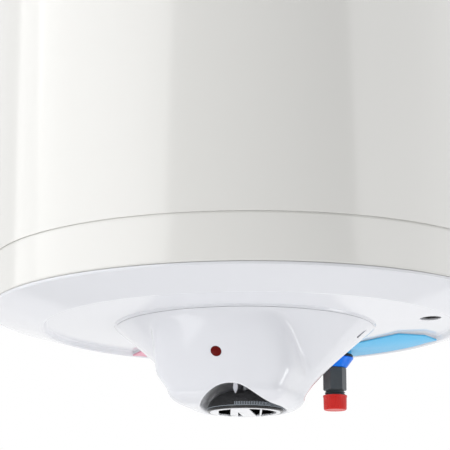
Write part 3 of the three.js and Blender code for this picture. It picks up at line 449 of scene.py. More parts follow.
pan = {
    "step": 0.9,
    "roll": 2.0,
    "flange": 236,
    "lip": 248.7,
    "lipHeight": 12,
    "floorHole": 100,
    "wall": 1.0,
    "pipeSpread": 50,
    "pipeBack": 145,
    "pipeHole": 9.0,
    "screwRadius": 242,
    "screwAngle": 28,
    "screwHole": 2.5,
}


# The places of a pair of pieces, as far apart on each side of the tank's axis.
def pairPlaces(left, right, across, back):
    return {left: beside(tankAxis, -across, back), right: beside(tankAxis, across, back)}


screwTurn = math.radians(pan["screwAngle"])
screwPlaces = pairPlaces("left", "right", pan["screwRadius"] * math.sin(screwTurn),
                         pan["screwRadius"] * math.cos(screwTurn))
pipePlaces = pairPlaces("hot", "cold", pan["pipeSpread"], pan["pipeBack"])


def makePan():
    lip, height, wall = pan["lip"], pan["lipHeight"], pan["wall"]
    step, roll, flange, floorHole = -pan["step"], pan["roll"], pan["flange"], pan["floorHole"]
    inner = outerRadius - wall
    made = turnedObject("lower_pan_pressing", [
        (floorHole, height), (lip, height, 0.6), (lip, step, 0.3), (outerRadius, step, 0.4),
        (outerRadius, panFoot, roll), (flange, panFoot), (flange, panFoot + wall),
        (inner, panFoot + wall, roll - wall), (inner, step - wall), (lip - wall, step - wall),
        (lip - wall, height - wall, 0.4), (floorHole, height - wall), (floorHole, height),
    ], tankAxis, bodySides, 7)
    holes = [rod(pan["pipeHole"], 0, 2 * height, place) for place in pipePlaces.values()]
    holes += [rod(pan["screwHole"], panFoot - 1, panFoot + 3, place, 24) for place in screwPlaces.values()]
    finish(combined(made, holes), creamEnamel, "lower_pan")


makeJacket()
makeTopCap()
makePan()
print("sheet metal made")


# The moulded bottom cover with its two screws and the cable inlet.
cover = {
    "wall": 2.5,
    "seat": 0.3,
    "bead": 2.6,
    "ringInner": 241.8,
    "rim": 199.4,
    "disc": 194.3,
    "rimRound": 2.4,
    "discFillet": 3.2,
    "dish": 126,
    "plinth": 124,
    "plinthHeight": 2,
    "plinthFoot": 124.8,
    "opening": 118.5,
    "boss": 17.5,
    "post": 4.0,
    "bossFoot": -56.9,
    "pipeHole": 9.5,
    "cableHole": 10,
    "cablePlace": 176,
    "screwWell": 4.5,
    "posts": [(148, 98), (-140, 108)],
}


def makeCover():
    top = panFoot - cover["seat"]
    wall, rim, disc = cover["wall"], cover["rim"], cover["disc"]
    beadFoot = top - cover["bead"]
    edge = outerRadius - 0.3
    dishLevel = plinthLevel + cover["plinthHeight"]
    made = turnedObject("bottom_cover_moulding", [
        (pan["flange"], top), (edge, top, 0.5), (edge, beadFoot, 1.5), (rim + 2.2, rimLevel + 0.3, 3),
        (rim - 1.4, rimLevel - 0.05, cover["rimRound"]), (disc, discLevel, cover["discFillet"]),
        (cover["dish"], dishLevel, 3), (0, dishLevel), (0, discLevel + wall),
        (disc + wall, discLevel + wall, 2), (rim + 1, rimLevel + wall + 0.4, 1.5),
        (cover["ringInner"], top - wall), (pan["flange"], top - wall), (pan["flange"], top),
    ], tankAxis, bodySides, 8)
    # The disc slopes from the recess, round the tank's axis, to the plinth, round the control axis.
    for vertex in made.data.vertices:
        reach = math.hypot(vertex.co.x - tankAxis.x, vertex.co.y - tankAxis.y) / mm
        share = (disc - reach) / (disc - cover["dish"])
        vertex.co.y += (controlAxis.y - tankAxis.y) * min(1, max(0, share))
    edge, foot = cover["plinth"], cover["plinthFoot"]
    plinth = turnedObject("plinth", [
        (0, plinthLevel), (edge - 0.3, plinthLevel, 0.4), (edge, plinthLevel + 0.8, 0.5),
        (foot, dishLevel, 0.5), (foot, dishLevel + 0.5), (0, dishLevel + 0.5),
    ], controlAxis, hoodSides)
    combined(made, [plinth], "UNION")
    join = discLevel + 0.5
    pipes, screws = pipePlaces.values(), screwPlaces.values()
    pillars = [rod(cover["boss"], cover["bossFoot"], join, place, 96) for place in pipes]
    posts = [beside(tankAxis, *place) for place in cover["posts"]]
    pillars += [rod(cover["post"], cover["bossFoot"], join, place) for place in posts]
    combined(made, pillars, "UNION")
    above = discLevel + wall + 1
    cuts = [rod(cover["opening"], plinthLevel - 1, above, controlAxis, hoodSides)]
    cuts += [rod(cover["pipeHole"], rimLevel, above, place) for place in pipes]
    cuts += [rod(cover["cableHole"], plinthLevel, above, beside(tankAxis, cover["cablePlace"]))]
    cuts += [rod(pan["screwHole"], rimLevel, top + 1, place, 32) for place in screws]
    combined(made, cuts)
    wells = [rod(cover["screwWell"], rimLevel, top - wall, place, 48) for place in screws]
    finish(combined(made, wells), coolWhite, "bottom_cover")


coverScrew = {
    "head": 4.0,
    "headHeight": 3.0,
    "shank": 2.0,
    "length": 10.5,
    "slotWidth": 0.35,
    "slotLength": 2.6,
    "slotDepth": 1.4,
}


def makeCoverScrews():
    seat = panFoot - cover["seat"] - cover["wall"] - 0.3
    foot = seat - coverScrew["headHeight"]
    head, shank = coverScrew["head"], coverScrew["shank"]
    wide, long = coverScrew["slotWidth"], coverScrew["slotLength"]
    for side, place in screwPlaces.items():
        made = turnedObject(f"cover_screw_{side}_fine", [
            (0, foot), (head - 0.6, foot, 0.5), (head, foot + 0.9, 0.5), (head, seat, 0.2), (shank, seat),
            (shank, seat + coverScrew["length"] - 2, 0.5), (0, seat + coverScrew["length"]),
        ], place, 48)
        for outline in (boxOutline(-long, long, -wide, wide), boxOutline(-wide, wide, -long, long)):
            combined(made, [raisedObject("slot", outline, foot - 1, foot + coverScrew["slotDepth"], place)])
        finish(made, zincSteel, f"cover_screw_{side}")


grommet = {
    "bore": 5,
    "neck": 9.7,
    "collar": 12.5,
}


def makeGrommet():
    foot = discLevel + grommetLift
    seat = discLevel + cover["wall"] + 0.3
    bore, neck, collar = grommet["bore"], grommet["neck"], grommet["collar"]
    made = turnedObject("cable_grommet_fine", [
        (bore, foot, 0.8), (neck, foot, 0.8), (neck, seat, 0.3), (collar, seat, 0.5),
        (collar, seat + 2, 0.8), (bore, seat + 2, 0.6), (bore, foot),
    ], beside(tankAxis, cover["cablePlace"]), 64)
    finish(made, blackRubber, "cable_grommet")


makeCover()
makeCoverScrews()
makeGrommet()
print("bottom cover made")


# The hood: a flared bell with a nose at its front, and the dial's pocket under it.
hood = {
    "radius": 123,
    "wall": 2.4,
    "flareDepth": 66.1,
    "flareCurve": 1.25,
    "throat": 56,
    "throatRound": 18,
    "noseHalfWidth": 66.5,
    "noseReach": 82,
    "noseTop": 121,
    "noseCurve": 1.35,
    "noseRound": 34,
    "noseSag": 4.5,
    "noseCorner": 11,
    "crease": 1.3,
    "lip": 118.2,
    "edge": 0.25,
    "sections": 432,
    "latchAngles": (92.5, -92.5, 40, -40),
    "latchWidth": 18,
    "latchHeight": 3.6,
    "latchReach": 1.6,
    "slotWidth": 6,
    "slotHeight": 7,
    "slotDrop": 8.5,
}
pocket = {
    "halfWidth": 39,
    "front": 99,
    "rear": 40,
    "height": 30.5,
    "lean": 0.092,
    "drop": 1.5,
    "wall": 2.5,
    "rim": 3.2,
    "spindleHole": 3.8,
}
hoodTop = plinthLevel - 0.3
hoodHeight = hoodTop - hoodBottom
pocketCeiling = hoodBottom - pocket["drop"] + pocket["height"]


def softMax(a, b, softness):
    return np.maximum(a, b) + softness * np.log1p(np.exp(-np.abs(a - b) / softness))


def flaredReach(depth, top, foot, curve, rounding):
    run = np.clip(1 - depth / hood["flareDepth"], 0, 1)
    share = np.clip((depth - hood["flareDepth"]) / (hoodHeight - hood["flareDepth"]), 0, 1)
    return foot + (top - foot) * run ** curve - rounding * (1 - np.sqrt(1 - share ** 2))


def bellReach(depth):
    return flaredReach(depth, hood["radius"], hood["throat"], hood["flareCurve"], hood["throatRound"])


# Distance from the control axis to the skin; angle 0 points to the front.
def hoodReach(angle, depth):
    bell = bellReach(depth)
    half = -softMax(-hood["noseHalfWidth"], -bell, 2)
    front = flaredReach(depth, hood["noseTop"], hood["noseReach"], hood["noseCurve"], hood["noseRound"])
    topSag = hood["radius"] - math.sqrt(hood["radius"] ** 2 - hood["noseHalfWidth"] ** 2)
    run = np.clip(1 - depth / hood["flareDepth"], 0, 1)
    bow = (hood["noseSag"] + (topSag - hood["noseSag"]) * run ** 2.5) / half ** 2
    cosine, sine = np.cos(angle), np.maximum(np.abs(np.sin(angle)), 1e-4)
    face = (-cosine + np.sqrt(cosine ** 2 + 4 * bow * front * sine ** 2)) / (2 * bow * sine ** 2)
    corner = hood["noseCorner"]
    ahead = (np.maximum(face, 1e-6) ** -corner + (half / sine) ** -corner) ** (-1 / corner)
    nose = np.where(cosine > 0, ahead, half * sine)
    return softMax(bell, nose, hood["crease"])


# Distance from the control axis to the pocket's egg at a height, or 0 above it. In front of the
# axis the egg leans sideways.
def pocketReach(angle, height, grow=0.0):
    share = (height - (hoodBottom - pocket["drop"])) / (pocket["height"] + grow)
    sine, cosine = math.sin(angle), math.cos(angle)
    lean = pocket["lean"] if cosine > 0 else 0
    depth = (pocket["front"] if cosine > 0 else pocket["rear"]) + grow
    side = pocket["halfWidth"] + grow
    spread = ((sine - lean * cosine) / side) ** 2 + (cosine / depth) ** 2
    return math.sqrt(max(0, 1 - share ** 2) / spread)


def pathLength(path):
    return np.concatenate([[0], np.cumsum(np.hypot(*np.diff(path, axis=0).T))])


# Points along a path from low to high; a power above 1 crowds them at its end.
def resampled(path, count, power, low, high):
    along = pathLength(path)
    wanted = low + (high - low) * (1 - (1 - np.linspace(0, 1, count)) ** power)
    return np.column_stack([np.interp(wanted, along, path[:, axis]) for axis in (0, 1)])


# One upright section: down the skin, round the rim, then up the pocket to the spindle's hole.
def sectionPath(angle, inset, grow, counts):
    flare = hood["flareDepth"]
    depths = np.concatenate([
        np.linspace(0, flare, 160, endpoint=False),
        flare + (hoodHeight - inset - flare) * np.sin(np.linspace(0, math.pi / 2, 120)),
    ])
    reach = hoodReach(np.full(depths.shape, angle), depths + inset * 0.5) - inset
    skin = np.column_stack([reach, hoodTop - depths])
    foot, top = hoodBottom - pocket["drop"], pocketCeiling + grow
    heights = foot + (top - foot) * np.sin(np.linspace(0, math.pi / 2, 200))
    egg = np.array([(pocketReach(angle, height, grow), height) for height in heights])
    egg = egg[egg[:, 0] > pocket["spindleHole"]]
    egg = np.vstack([egg, [(pocket["spindleHole"], egg[-1, 1])]])
    gap = skin[:, 0] - np.interp(skin[:, 1], egg[:, 1], egg[:, 0], left=egg[0, 0], right=0)
    below = np.where(gap < 0)[0]
    if len(below) and below[0] > 0:
        last = below[0]
        share = gap[last - 1] / (gap[last - 1] - gap[last])
        meet = skin[last - 1] * (1 - share) + skin[last] * share
        skin = np.vstack([skin[:last], [meet]])
        egg = np.vstack([[meet], egg[egg[:, 1] > meet[1]]])
    else:
        egg = egg[egg[:, 1] >= skin[-1, 1]]
        meet = skin[-1]
        egg = np.vstack([[(egg[0, 0], meet[1])], egg])
        skin = np.vstack([skin, [(egg[0, 0], meet[1])]])
    rim = pocket["rim"]
    skinLength, eggLength = pathLength(skin)[-1], pathLength(egg)[-1]
    first = resampled(skin, counts[0], 1.35, 0, skinLength - rim)
    last = resampled(egg, counts[2], 1.0, rim, eggLength)
    corner = skin[-1]
    shares = np.linspace(0, 1, counts[1] + 2)[1:-1, None]
    bend = first[-1] * (1 - shares) ** 2 + corner * 2 * shares * (1 - shares) + last[0] * shares ** 2
    return np.vstack([first, bend, last])


def makeHoodShell():
    lipTop = discLevel + 0.5
    edge, lipInner = hood["edge"], hood["lip"] - hood["wall"]
    rings = []
    for index in range(hood["sections"]):
        angle = 2 * math.pi * index / hood["sections"]
        outer = sectionPath(angle, 0, 0, (64, 7, 32))
        inner = sectionPath(angle, hood["wall"], pocket["wall"], (26, 3, 14))[::-1]
        outer[0] += (-edge, 0)
        head = [(hood["lip"], lipTop), (hood["lip"], hoodTop)]
        second = outer[0] * 0.3 + outer[1] * 0.7 + (edge * 0.2, edge * 0.2)
        tail = [(lipInner, inner[-1, 1]), (lipInner, lipTop)]
        section = np.vstack([head, outer[:1], [second], outer[1:], inner[:-1], tail])
        rings.append([around(controlAxis, radius, angle, height) for radius, height in section])
    faces = gridFaces(len(rings), len(rings[0]))
    return meshObject("hood_moulding", [point for ring in rings for point in ring], faces)


# Turned on the lens's own axis, which stands square on the nose's front face; heights are measured
# out of the skin.
def lensTurned(name, corners):
    drop = lens["drop"]
    above, ahead, below = (float(hoodReach(0.0, np.array([drop + step]))[0]) for step in (-3, 0, 3))
    place = (controlAxis.x, controlAxis.y - ahead * mm, level(hoodTop - drop))
    made = turnedObject(name, corners, Vector(), 64)
    return stoodAt(made, place, math.pi / 2 + math.atan((above - below) / 6))


def makeHood():
    made = makeHoodShell()
    hole = lens["radius"] + lens["gap"]
    cuts = [lensTurned("lens_hole", [(0, -9), (hole, -9), (hole, 9), (0, 9)])]
    reach = float(bellReach(np.array([hood["slotDrop"]]))[0])
    middle, half, wide = hoodTop - hood["slotDrop"], hood["slotHeight"] / 2, hood["slotWidth"] / 2
    for angle in hood["latchAngles"][:2]:
        outline = boxOutline(-wide, wide, -reach - 8, -reach + 9)
        slot = raisedObject("latch_slot", outline, middle - half, middle + half, controlAxis, 0.6, isCorner)
        cuts.append(turnedBy(slot, angle, controlAxis))
    finish(combined(made, cuts), coolWhite, "hood", degrees=40)


# A tab goes up through the cover's opening, and its barb catches on the inside.
def makeLatches():
    half, inner = hood["latchWidth"] / 2, hood["lip"] - hood["wall"]
    catch = discLevel + cover["wall"] + 0.3
    top = catch + hood["latchHeight"]
    for index, angle in enumerate(hood["latchAngles"]):
        outline = boxOutline(-half, half, 0.8 - hood["lip"], -inner)
        tab = raisedObject("tab", outline, discLevel, top, controlAxis, 0.4, isCorner)
        outline = boxOutline(-half, half, -cover["opening"] - hood["latchReach"], -inner - 0.2)
        barb = raisedObject("barb", outline, catch, top, controlAxis, 0.4, isCorner)
        made = combined(tab, [barb], "UNION")
        made.name = f"hood_latch_{index + 1}"
        finish(turnedBy(made, angle, controlAxis), coolWhite, "hood")


pointer = {
    "front": 33,
    "width": 4.2,
    "neck": 2.6,
    "thickness": 2.4,
    "tip": 13.9,
    "shoulder": 5.4,
    "edge": 0.35,
}


def makePointer():
    half, neck = pointer["width"] / 2, pointer["neck"] / 2
    tip, shoulder = pointer["tip"], pointer["tip"] + pointer["shoulder"]
    top = pocketCeiling - dialBottom + 0.8
    right = [(half * 0.9, -shoulder + 1), (half, -shoulder), (neck, -top)]
    outline = [(-x, y) for x, y in reversed(right)] + [(0, -tip)] + right
    thick = pointer["thickness"] / 2
    made = raisedObject("hood_pointer", outline, -thick, thick, Vector(), pointer["edge"], isCorner)
    place = around(controlAxis, pointer["front"], 0, dialBottom)
    finish(stoodAt(made, place, -math.pi / 2), coolWhite, "hood")


lens = {
    "drop": 35.2,
    "radius": 4.95,
    "gap": 0.15,
    "proud": 0.9,
    "flange": 7.4,
    "seat": -3.8,
    "lampRadius": 4.0,
    "lampLength": 20,
}


def makeLens():
    radius, proud, seat = lens["radius"], lens["proud"], lens["seat"]
    flange, lamp = lens["flange"], lens["lampRadius"]
    turns = [step * math.pi / 16 for step in range(8)]
    dome = [(radius * math.cos(turn), proud * math.sin(turn)) for turn in turns]
    made = lensTurned("led_lens_fine", [
        (0, seat - 1.4), (flange, seat - 1.4, 0.3), (flange, seat, 0.3), (radius, seat), *dome, (0, proud),
    ])
    finish(made, redLens, "led_lens")
    back = seat - 1.7
    end = back - lens["lampLength"]
    made = lensTurned("indicator_lamp_fine", [
        (0, end), (lamp, end, 0.5), (lamp, back - 2), (flange, back - 2, 0.3), (flange, back, 0.3),
        (0, back),
    ])
    finish(made, darkPlastic, "indicator_lamp")


makeHood()
makeLatches()
makePointer()
makeLens()
print("hood and lamp made")


# The dial: a black dome with a scale, and a white wheel set into its underside.
dial = {
    "radius": 35.8,
    "height": 21.2,
    "skirt": 2.5,
    "hub": 6,
    "bore": 3.3,
    "socket": 12,
    "recess": 33.9,
    "recessDepth": 6,
    "scaleLow": 3.4,
    "scaleHigh": 6.3,
    "scaleLine": 2.9,
    "tickStep": 2.5,
    "tickTurn": 270,
    "tickWidth": 0.5,
    "proud": 0.12,
}
wheel = {
    "radius": 33.6,
    "ring": 4.4,
    "low": -0.3,
    "high": 1.3,
    "boss": 9,
    "turn": 16.5,
    "windows": [
        [(-25, -32), (-14, -32), (-14, 32), (-25, 32)],
        [(-6.6, -1), (-6.5, -1), (-1.6, 32), (-6.5, 32)],
        [(2.2, -32), (13.7, -32), (13.7, 32), (11.6, 32)],
        [(15.7, -32), (32, -32), (32, 32), (15.7, 32)],
    ],
}


def domeReach(height):
    share = (height - dial["skirt"]) / (dial["height"] - dial["skirt"])
    return dial["radius"] * math.sqrt(max(0, 1 - max(0, share) ** 2))


def dialTurned(name, corners):
    raised = [(radius, dialBottom + height, *easing) for radius, height, *easing in corners]
    return turnedObject(name, raised, controlAxis, hoodSides)


def makeDial():
    top, skirt = dial["height"], dial["skirt"]
    steps = [skirt + (top - skirt) * math.sin(step * math.pi / 60) for step in range(30)]
    dome = [(domeReach(height), height) for height in steps if domeReach(height) > dial["hub"] + 0.5]
    radius, recess, depth = dial["radius"], dial["recess"], dial["recessDepth"]
    made = dialTurned("dial_dome", [
        (0, depth), (recess, depth, 0.4), (recess, 0, 0.3), (radius - 0.2, 0, 0.6), *dome,
        (dial["hub"], top - 0.2, 0.4), (dial["bore"] + 0.2, top, 0.2), (dial["bore"], top - dial["socket"]),
        (0, top - dial["socket"]),
    ])
    finish(made, blackGloss, "dial", "dial")
    low, boss = wheel["high"] + 0.1, wheel["boss"]
    made = dialTurned("dial_recess_liner", [
        (0, low), (boss, low, 0.5), (boss, depth - 0.25), (recess - 0.5, depth - 0.25),
        (recess - 0.5, depth + 0.1), (0, depth + 0.1),
    ])
    finish(made, deepBlack, "dial", "dial")


# The scale runs from the pointer to the right: fine upright ticks over a thin line.
def makeScale():
    low, high, proud = dial["scaleLow"], dial["scaleHigh"], dial["proud"]
    rows = [low + (high - low) * step / 3 for step in range(4)]
    half = math.degrees(dial["tickWidth"] / 2 / dial["radius"])
    points, faces = [], []
    for index in range(int(dial["tickTurn"] / dial["tickStep"]) + 1):
        middle, start = index * dial["tickStep"], len(points)
        for height in rows:
            for turn in (middle - half, middle + half):
                for lift in (-0.3, proud):
                    reach = domeReach(height) + lift
                    points.append(around(controlAxis, reach, math.radians(turn), dialBottom + height))
        for here in range(start, len(points) - 4, 4):
            for first, second in ((0, 1), (1, 3), (3, 2), (2, 0)):
                faces.append((here + first, here + second, here + 4 + second, here + 4 + first))
        for here in (start, len(points) - 4):
            faces.append((here, here + 1, here + 3, here + 2))
    finish(meshObject("dial_scale_ticks", points, faces), scalePrint, "dial", "dial")
    line, thick = dial["scaleLine"], 0.2
    radius = domeReach(line)
    made = dialTurned("dial_scale_line", [
        (radius - 0.3, line - thick), (radius + proud, line - thick, 0.05),
        (radius + proud, line + thick, 0.05), (radius - 0.3, line + thick), (radius - 0.3, line - thick),
    ])
    finish(made, scalePrint, "dial", "dial")


def makeWheel():
    low, high, radius = wheel["low"], wheel["high"], wheel["radius"]
    inner = radius - wheel["ring"]
    made = dialTurned("dial_wheel", [(0, low), (radius, low, 0.8), (radius, high, 0.3), (0, high)])
    inside = dialTurned("inside", [(0, low - 2), (inner, low - 2), (inner, high + 2), (0, high + 2)])
    windows = [raisedObject("window", outline, dialBottom + low - 1, dialBottom + high + 1, controlAxis)
               for outline in wheel["windows"]]
    cut = combined(joined(windows), [inside], "INTERSECT")
    combined(made, [cut])
    bevelled(made, lambda edge: isCorner(edge) and isRim(edge), 0.4)
    finish(turnedBy(made, wheel["turn"], controlAxis), coolWhite, "dial_grip", "dial")


makeDial()
makeScale()
makeWheel()
print("dial made")


# The water connections, from the coloured plates down to the transport caps.
sidePlate = {
    "gap": 12,
    "front": 116,
    "innerFront": 134,
    "boss": 17.5,
    "radius": 191.5,
    "collar": 3.5,
    "hole": 9.5,
    "edge": 0.45,
    "bedInset": 0.8,
    "coldCorners": [(133, 61.5), (157, 79), (163, 106.5), (150, 119)],
    "hotCorners": [(118, 60), (158.5, 113.5), (152, 117)],
}
rosette = {
    "top": 19.4,
    "bottom": 12.6,
    "height": 10,
    "wall": 1.6,
    "bore": 8.8,
}
washer = {
    "radius": 18.8,
    "thickness": 2.8,
}
nipple = {
    "flats": 21,
    "hexHeight": 23.3,
    "turn": 21.5,
    "chamfer": 0.9,
    "crest": 10.48,
    "root": 9.3,
    "pitch": 1.814,
    "spigot": 16.6,
    "bore": 6.6,
    "pipeBore": 8.8,
    "pipeDepth": 13.8,
}
cap = {
    "gap": 5,
    "length": 15,
    "radius": 12,
    "flange": 12.4,
    "flangeHeight": 2,
    "inner": 11.1,
    "floor": 1.6,
    "ribs": 28,
    "ribDepth": 0.2,
}
pipe = {
    "radius": 8.5,
    "wall": 1.5,
    "intoNipple": 13.5,
    "coldTop": 78,
    "hotTop": 590,
}
washerTop = rimLevel - sidePlate["collar"] - 0.3
rosetteTop = washerTop - washer["thickness"] - 0.3
nippleTop = rosetteTop - rosette["height"] - 0.3
hexBottom = nippleTop - nipple["hexHeight"]
capTop = hexBottom - cap["gap"]


def makeSidePlate(name, side, corners, material, place):
    low, high = rimLevel, rimLevel + plateThickness
    radius, start, boss = sidePlate["radius"], sidePlate["gap"] / 2, sidePlate["boss"]
    turns = [math.degrees(math.asin(across / radius)) for across in (corners[-1][0], start)]
    outline = [(start, sidePlate["innerFront"]), (pan["pipeSpread"] + boss, sidePlate["front"]), *corners]
    outline += arcPoints(radius, *turns, 24)[1:]
    outline = [(side * x, y) for x, y in outline]
    made = raisedObject(f"{name}_side_plate_fine", outline, low, high, tankAxis, sidePlate["edge"])
    foot = low - sidePlate["collar"]
    collar = turnedObject("collar", [(0, foot), (boss, foot, 0.4), (boss, low + 0.5), (0, low + 0.5)], place)
    combined(made, [collar], "UNION")
    combined(made, [rod(sidePlate["hole"], low - 5, high + 1, place)])
    finish(made, material, f"{name}_side_plate")
    # A white bed on the cover fills the recess behind the plate, a little inside its edge.
    middle = [sum(values) / len(outline) for values in zip(*outline)]
    inset = [tuple(value - sidePlate["bedInset"] * (value - centre) / math.dist(point, middle)
                   for value, centre in zip(point, middle)) for point in outline]
    bed = raisedObject(f"{name}_plate_bed", inset, high - 0.1, discLevel + 1, tankAxis, 0.2)
    combined(bed, [rod(boss, low - 1, discLevel + 3, place)])
    finish(bed, coolWhite, "bottom_cover")


def makeWasher(name, place):
    low, bore, radius = washerTop - washer["thickness"], rosette["bore"], washer["radius"]
    made = turnedObject(f"{name}_washer_fine", [
        (bore, low, 0.5), (radius, low, 0.9), (radius, washerTop, 0.9), (bore, washerTop, 0.5), (bore, low),
    ], place)
    finish(made, blackRubber, f"{name}_washer")


def makeRosette(name, material, place):
    low = rosetteTop - rosette["height"]
    bore, wide, narrow, wall = rosette["bore"], rosette["top"], rosette["bottom"], rosette["wall"]
    made = turnedObject(f"{name}_rosette_fine", [
        (bore, low, 0.3), (narrow, low, 1.2), (wide, rosetteTop - 0.8, 0.6), (wide, rosetteTop, 0.3),
        (wide - wall, rosetteTop), (narrow - 1, low + wall), (bore, low + wall), (bore, low),
    ], place)
    finish(made, material, f"{name}_rosette")


# A thread's crest climbs one pitch a turn and fades out at its start and its end.
def threadedReach(radius, height, angle):
    if radius < nipple["root"] - 0.05:
        return radius
    down = hexBottom - height
    run = down / nipple["pitch"] + angle / (2 * math.pi)
    wave = 1 - abs(2 * (run - math.floor(run)) - 1)
    crest = min(1, max(0, 1.6 * wave - 0.2))
    fade = min(1, max(0, (down - 0.6) / 1.2), max(0, (nipple["spigot"] - down - 0.4) / 1.2))
    return nipple["root"] + (nipple["crest"] - nipple["root"]) * crest * fade


def makeNipple(name, place):
    low, high, corner = hexBottom, nippleTop, nipple["flats"] / math.sqrt(3)
    chamfer, bore, pipeBore = nipple["chamfer"], nipple["bore"], nipple["pipeBore"]
    step, inner, outer = high - nipple["pipeDepth"], corner - chamfer, corner + 0.2
    outline = arcPoints(corner, 0, 300, 6)
    made = raisedObject(f"{name}_nipple_hexagon", outline, low, high, place, 0.25, isCorner)
    lathe = turnedObject("turning", [
        (bore, low - 1), (inner - 1.4, low - 1), (inner, low + 0.1), (outer, low + chamfer),
        (outer, high - chamfer), (inner, high - 0.1), (inner - 1.4, high + 1), (pipeBore, high + 1),
        (pipeBore, step), (bore, step), (bore, low - 1),
    ], place)
    combined(made, [lathe], "INTERSECT")
    finish(turnedBy(made, nipple["turn"] + 30, place), blackCoated, f"{name}_nipple")
    root, spigot = nipple["root"], nipple["spigot"]
    end = low - spigot - 0.0001
    rows = int(spigot / nipple["pitch"] * 8)
    wall = [(root, low - spigot * row / rows) for row in range(rows + 1)]
    made = turnedObject(f"{name}_nipple_thread", [
        (bore, low + 0.5), (root, low + 0.5), *wall, (root - 0.8, end), (bore, end), (bore, low + 0.5),
    ], place, 72, 3, threadedReach)
    finish(made, blackCoated, f"{name}_nipple", degrees=50)


def ribbedReach(radius, height, angle):
    if radius < cap["radius"] - 0.4 or radius > cap["radius"] + 0.1:
        return radius
    return radius - cap["ribDepth"] * (0.5 + 0.5 * math.cos(cap["ribs"] * angle)) ** 3


def makeCap(name, place):
    low, radius, flange = capTop - cap["length"], cap["radius"], cap["flange"]
    inner, lip = cap["inner"], capTop - cap["flangeHeight"]
    made = turnedObject(f"{name}_cap_fine", [
        (0, low + 0.3), (radius - 2.5, low + 0.3, 0.2), (radius - 2, low, 0.3), (radius - 0.9, low, 0.4),
        (radius - 0.2, low + 1.2), (radius, lip), (flange, lip + 0.1, 0.3), (flange, capTop, 0.4),
        (inner, capTop, 0.2), (inner, low + cap["floor"]), (0, low + cap["floor"]),
    ], place, 336, 4, ribbedReach)
    finish(made, brightRed, f"{name}_cap", f"{name}_cap")


def makePipe(name, top, place):
    foot = nippleTop - pipe["intoNipple"]
    radius, bore = pipe["radius"], pipe["radius"] - pipe["wall"]
    made = turnedObject(f"{name}_pipe_fine", [
        (bore, foot, 0.3), (radius, foot, 0.3), (radius, top, 0.3), (bore, top, 0.3), (bore, foot),
    ], place)
    finish(made, zincSteel, f"{name}_pipe")


def makeConnections():
    cold, hot = pipePlaces["cold"], pipePlaces["hot"]
    makeSidePlate("cold", 1, sidePlate["coldCorners"], paleBlue, cold)
    makeSidePlate("hot", -1, sidePlate["hotCorners"], paleRed, hot)
    for name, material, place in (("cold", brightBlue, cold), ("hot", brightRed, hot)):
        makeWasher(name, place)
        makeRosette(name, material, place)
        makeNipple(name, place)
        makeCap(name, place)
    makePipe("cold_inlet", pipe["coldTop"], cold)
    makePipe("hot_outlet", pipe["hotTop"], hot)


# The parts that meet the wall.
bracket = {
    "halfWidth": 111,
    "thickness": 3,
    "low": 470,
    "high": 530,
    "wallGap": 14,
    "legFoot": 186.2,
    "bend": 3.5,
    "hookSpread": 70,
    "hookWidth": 12,
    "hookLength": 30,
}
spacer = {
    "halfWidth": 32,
    "low": 53,
    "high": 87,
    "front": 225,
}


def makeBracket():
    half, thick = bracket["halfWidth"], bracket["thickness"]
    wall, foot, bend = outerRadius + bracket["wallGap"], bracket["legFoot"], bracket["bend"]
    right = [(half - thick, wall - thick), (half - thick, foot), (half, foot)]
    right += arcPoints(bend, 90, 0, 6, half - bend, wall - bend)
    outline = right + [(-x, y) for x, y in reversed(right)]
    made = raisedObject("wall_bracket_fine", outline, bracket["low"], bracket["high"], tankAxis, 0.4)
    slots = []
    width, reach = bracket["hookWidth"] / 2, bracket["hookLength"] / 2
    middle = (bracket["low"] + bracket["high"]) / 2
    for side in (-1, 1):
        ends = arcPoints(width, -90, 90, 13, 0, reach - width)
        ends += arcPoints(width, 90, 270, 13, 0, width - reach)
        slot = raisedObject("slot", ends, -8, 8, Vector())
        place = beside(tankAxis, side * bracket["hookSpread"], wall)
        slots.append(stoodAt(slot, (place.x, place.y, level(middle)), math.pi / 2))
    finish(combined(made, slots), zincSteel, "wall_bracket")


def makeSpacer():
    half, low, high = spacer["halfWidth"], spacer["low"], spacer["high"]
    wall = outerRadius + bracket["wallGap"]
    outline = boxOutline(-half, half, spacer["front"], wall)
    made = raisedObject("lower_wall_spacer_fine", outline, low, high, tankAxis, 1.2, isCorner)
    combined(made, [rod(outerRadius + 0.3, low - 1, high + 1, tankAxis, bodySides)])
    finish(made, blackSatin, "lower_wall_spacer")


makeConnections()
makeBracket()
makeSpacer()
print("connections and wall parts made")


# The pieces inside keep their solids and get a finish.
insideFinishes = {
    "foam_insulation": paleFoam,
    "tank_shell": blueEnamel,
    "tank_top_dome": blueEnamel,
    "tank_bottom_dome": blueEnamel,
    "flange_gasket": blackRubber,
    "flange_plate": zincSteel,
    "anode_nut": zincSteel,
    "heating_element": copper,
    "thermowell": copper,
    "magnesium_anode": magnesium,
    "thermostat_body": darkPlastic,
    "thermostat_spindle": zincSteel,
    "reset_button": brightRed,
    "cold_diffuser": whitePolyamide,
    "terminal_block": whitePolyamide,
    "wire_live": brownWire,
    "wire_neutral": blueWire,
    "wire_earth": greenWire,
}
for index in range(1, 6):
    insideFinishes[f"flange_nut_{index}"] = zincSteel
for node, material in insideFinishes.items():
    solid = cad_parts[node]
    solid.data.materials.clear()
    solid.data.materials.append(material)
print("inner pieces finished:", len(insideFinishes))


# The floor, the light and the camera.
stage = {
    "floorLevel": -1.75,
    "floorHalf": 1.8,
    "worldFill": 0.58,
}


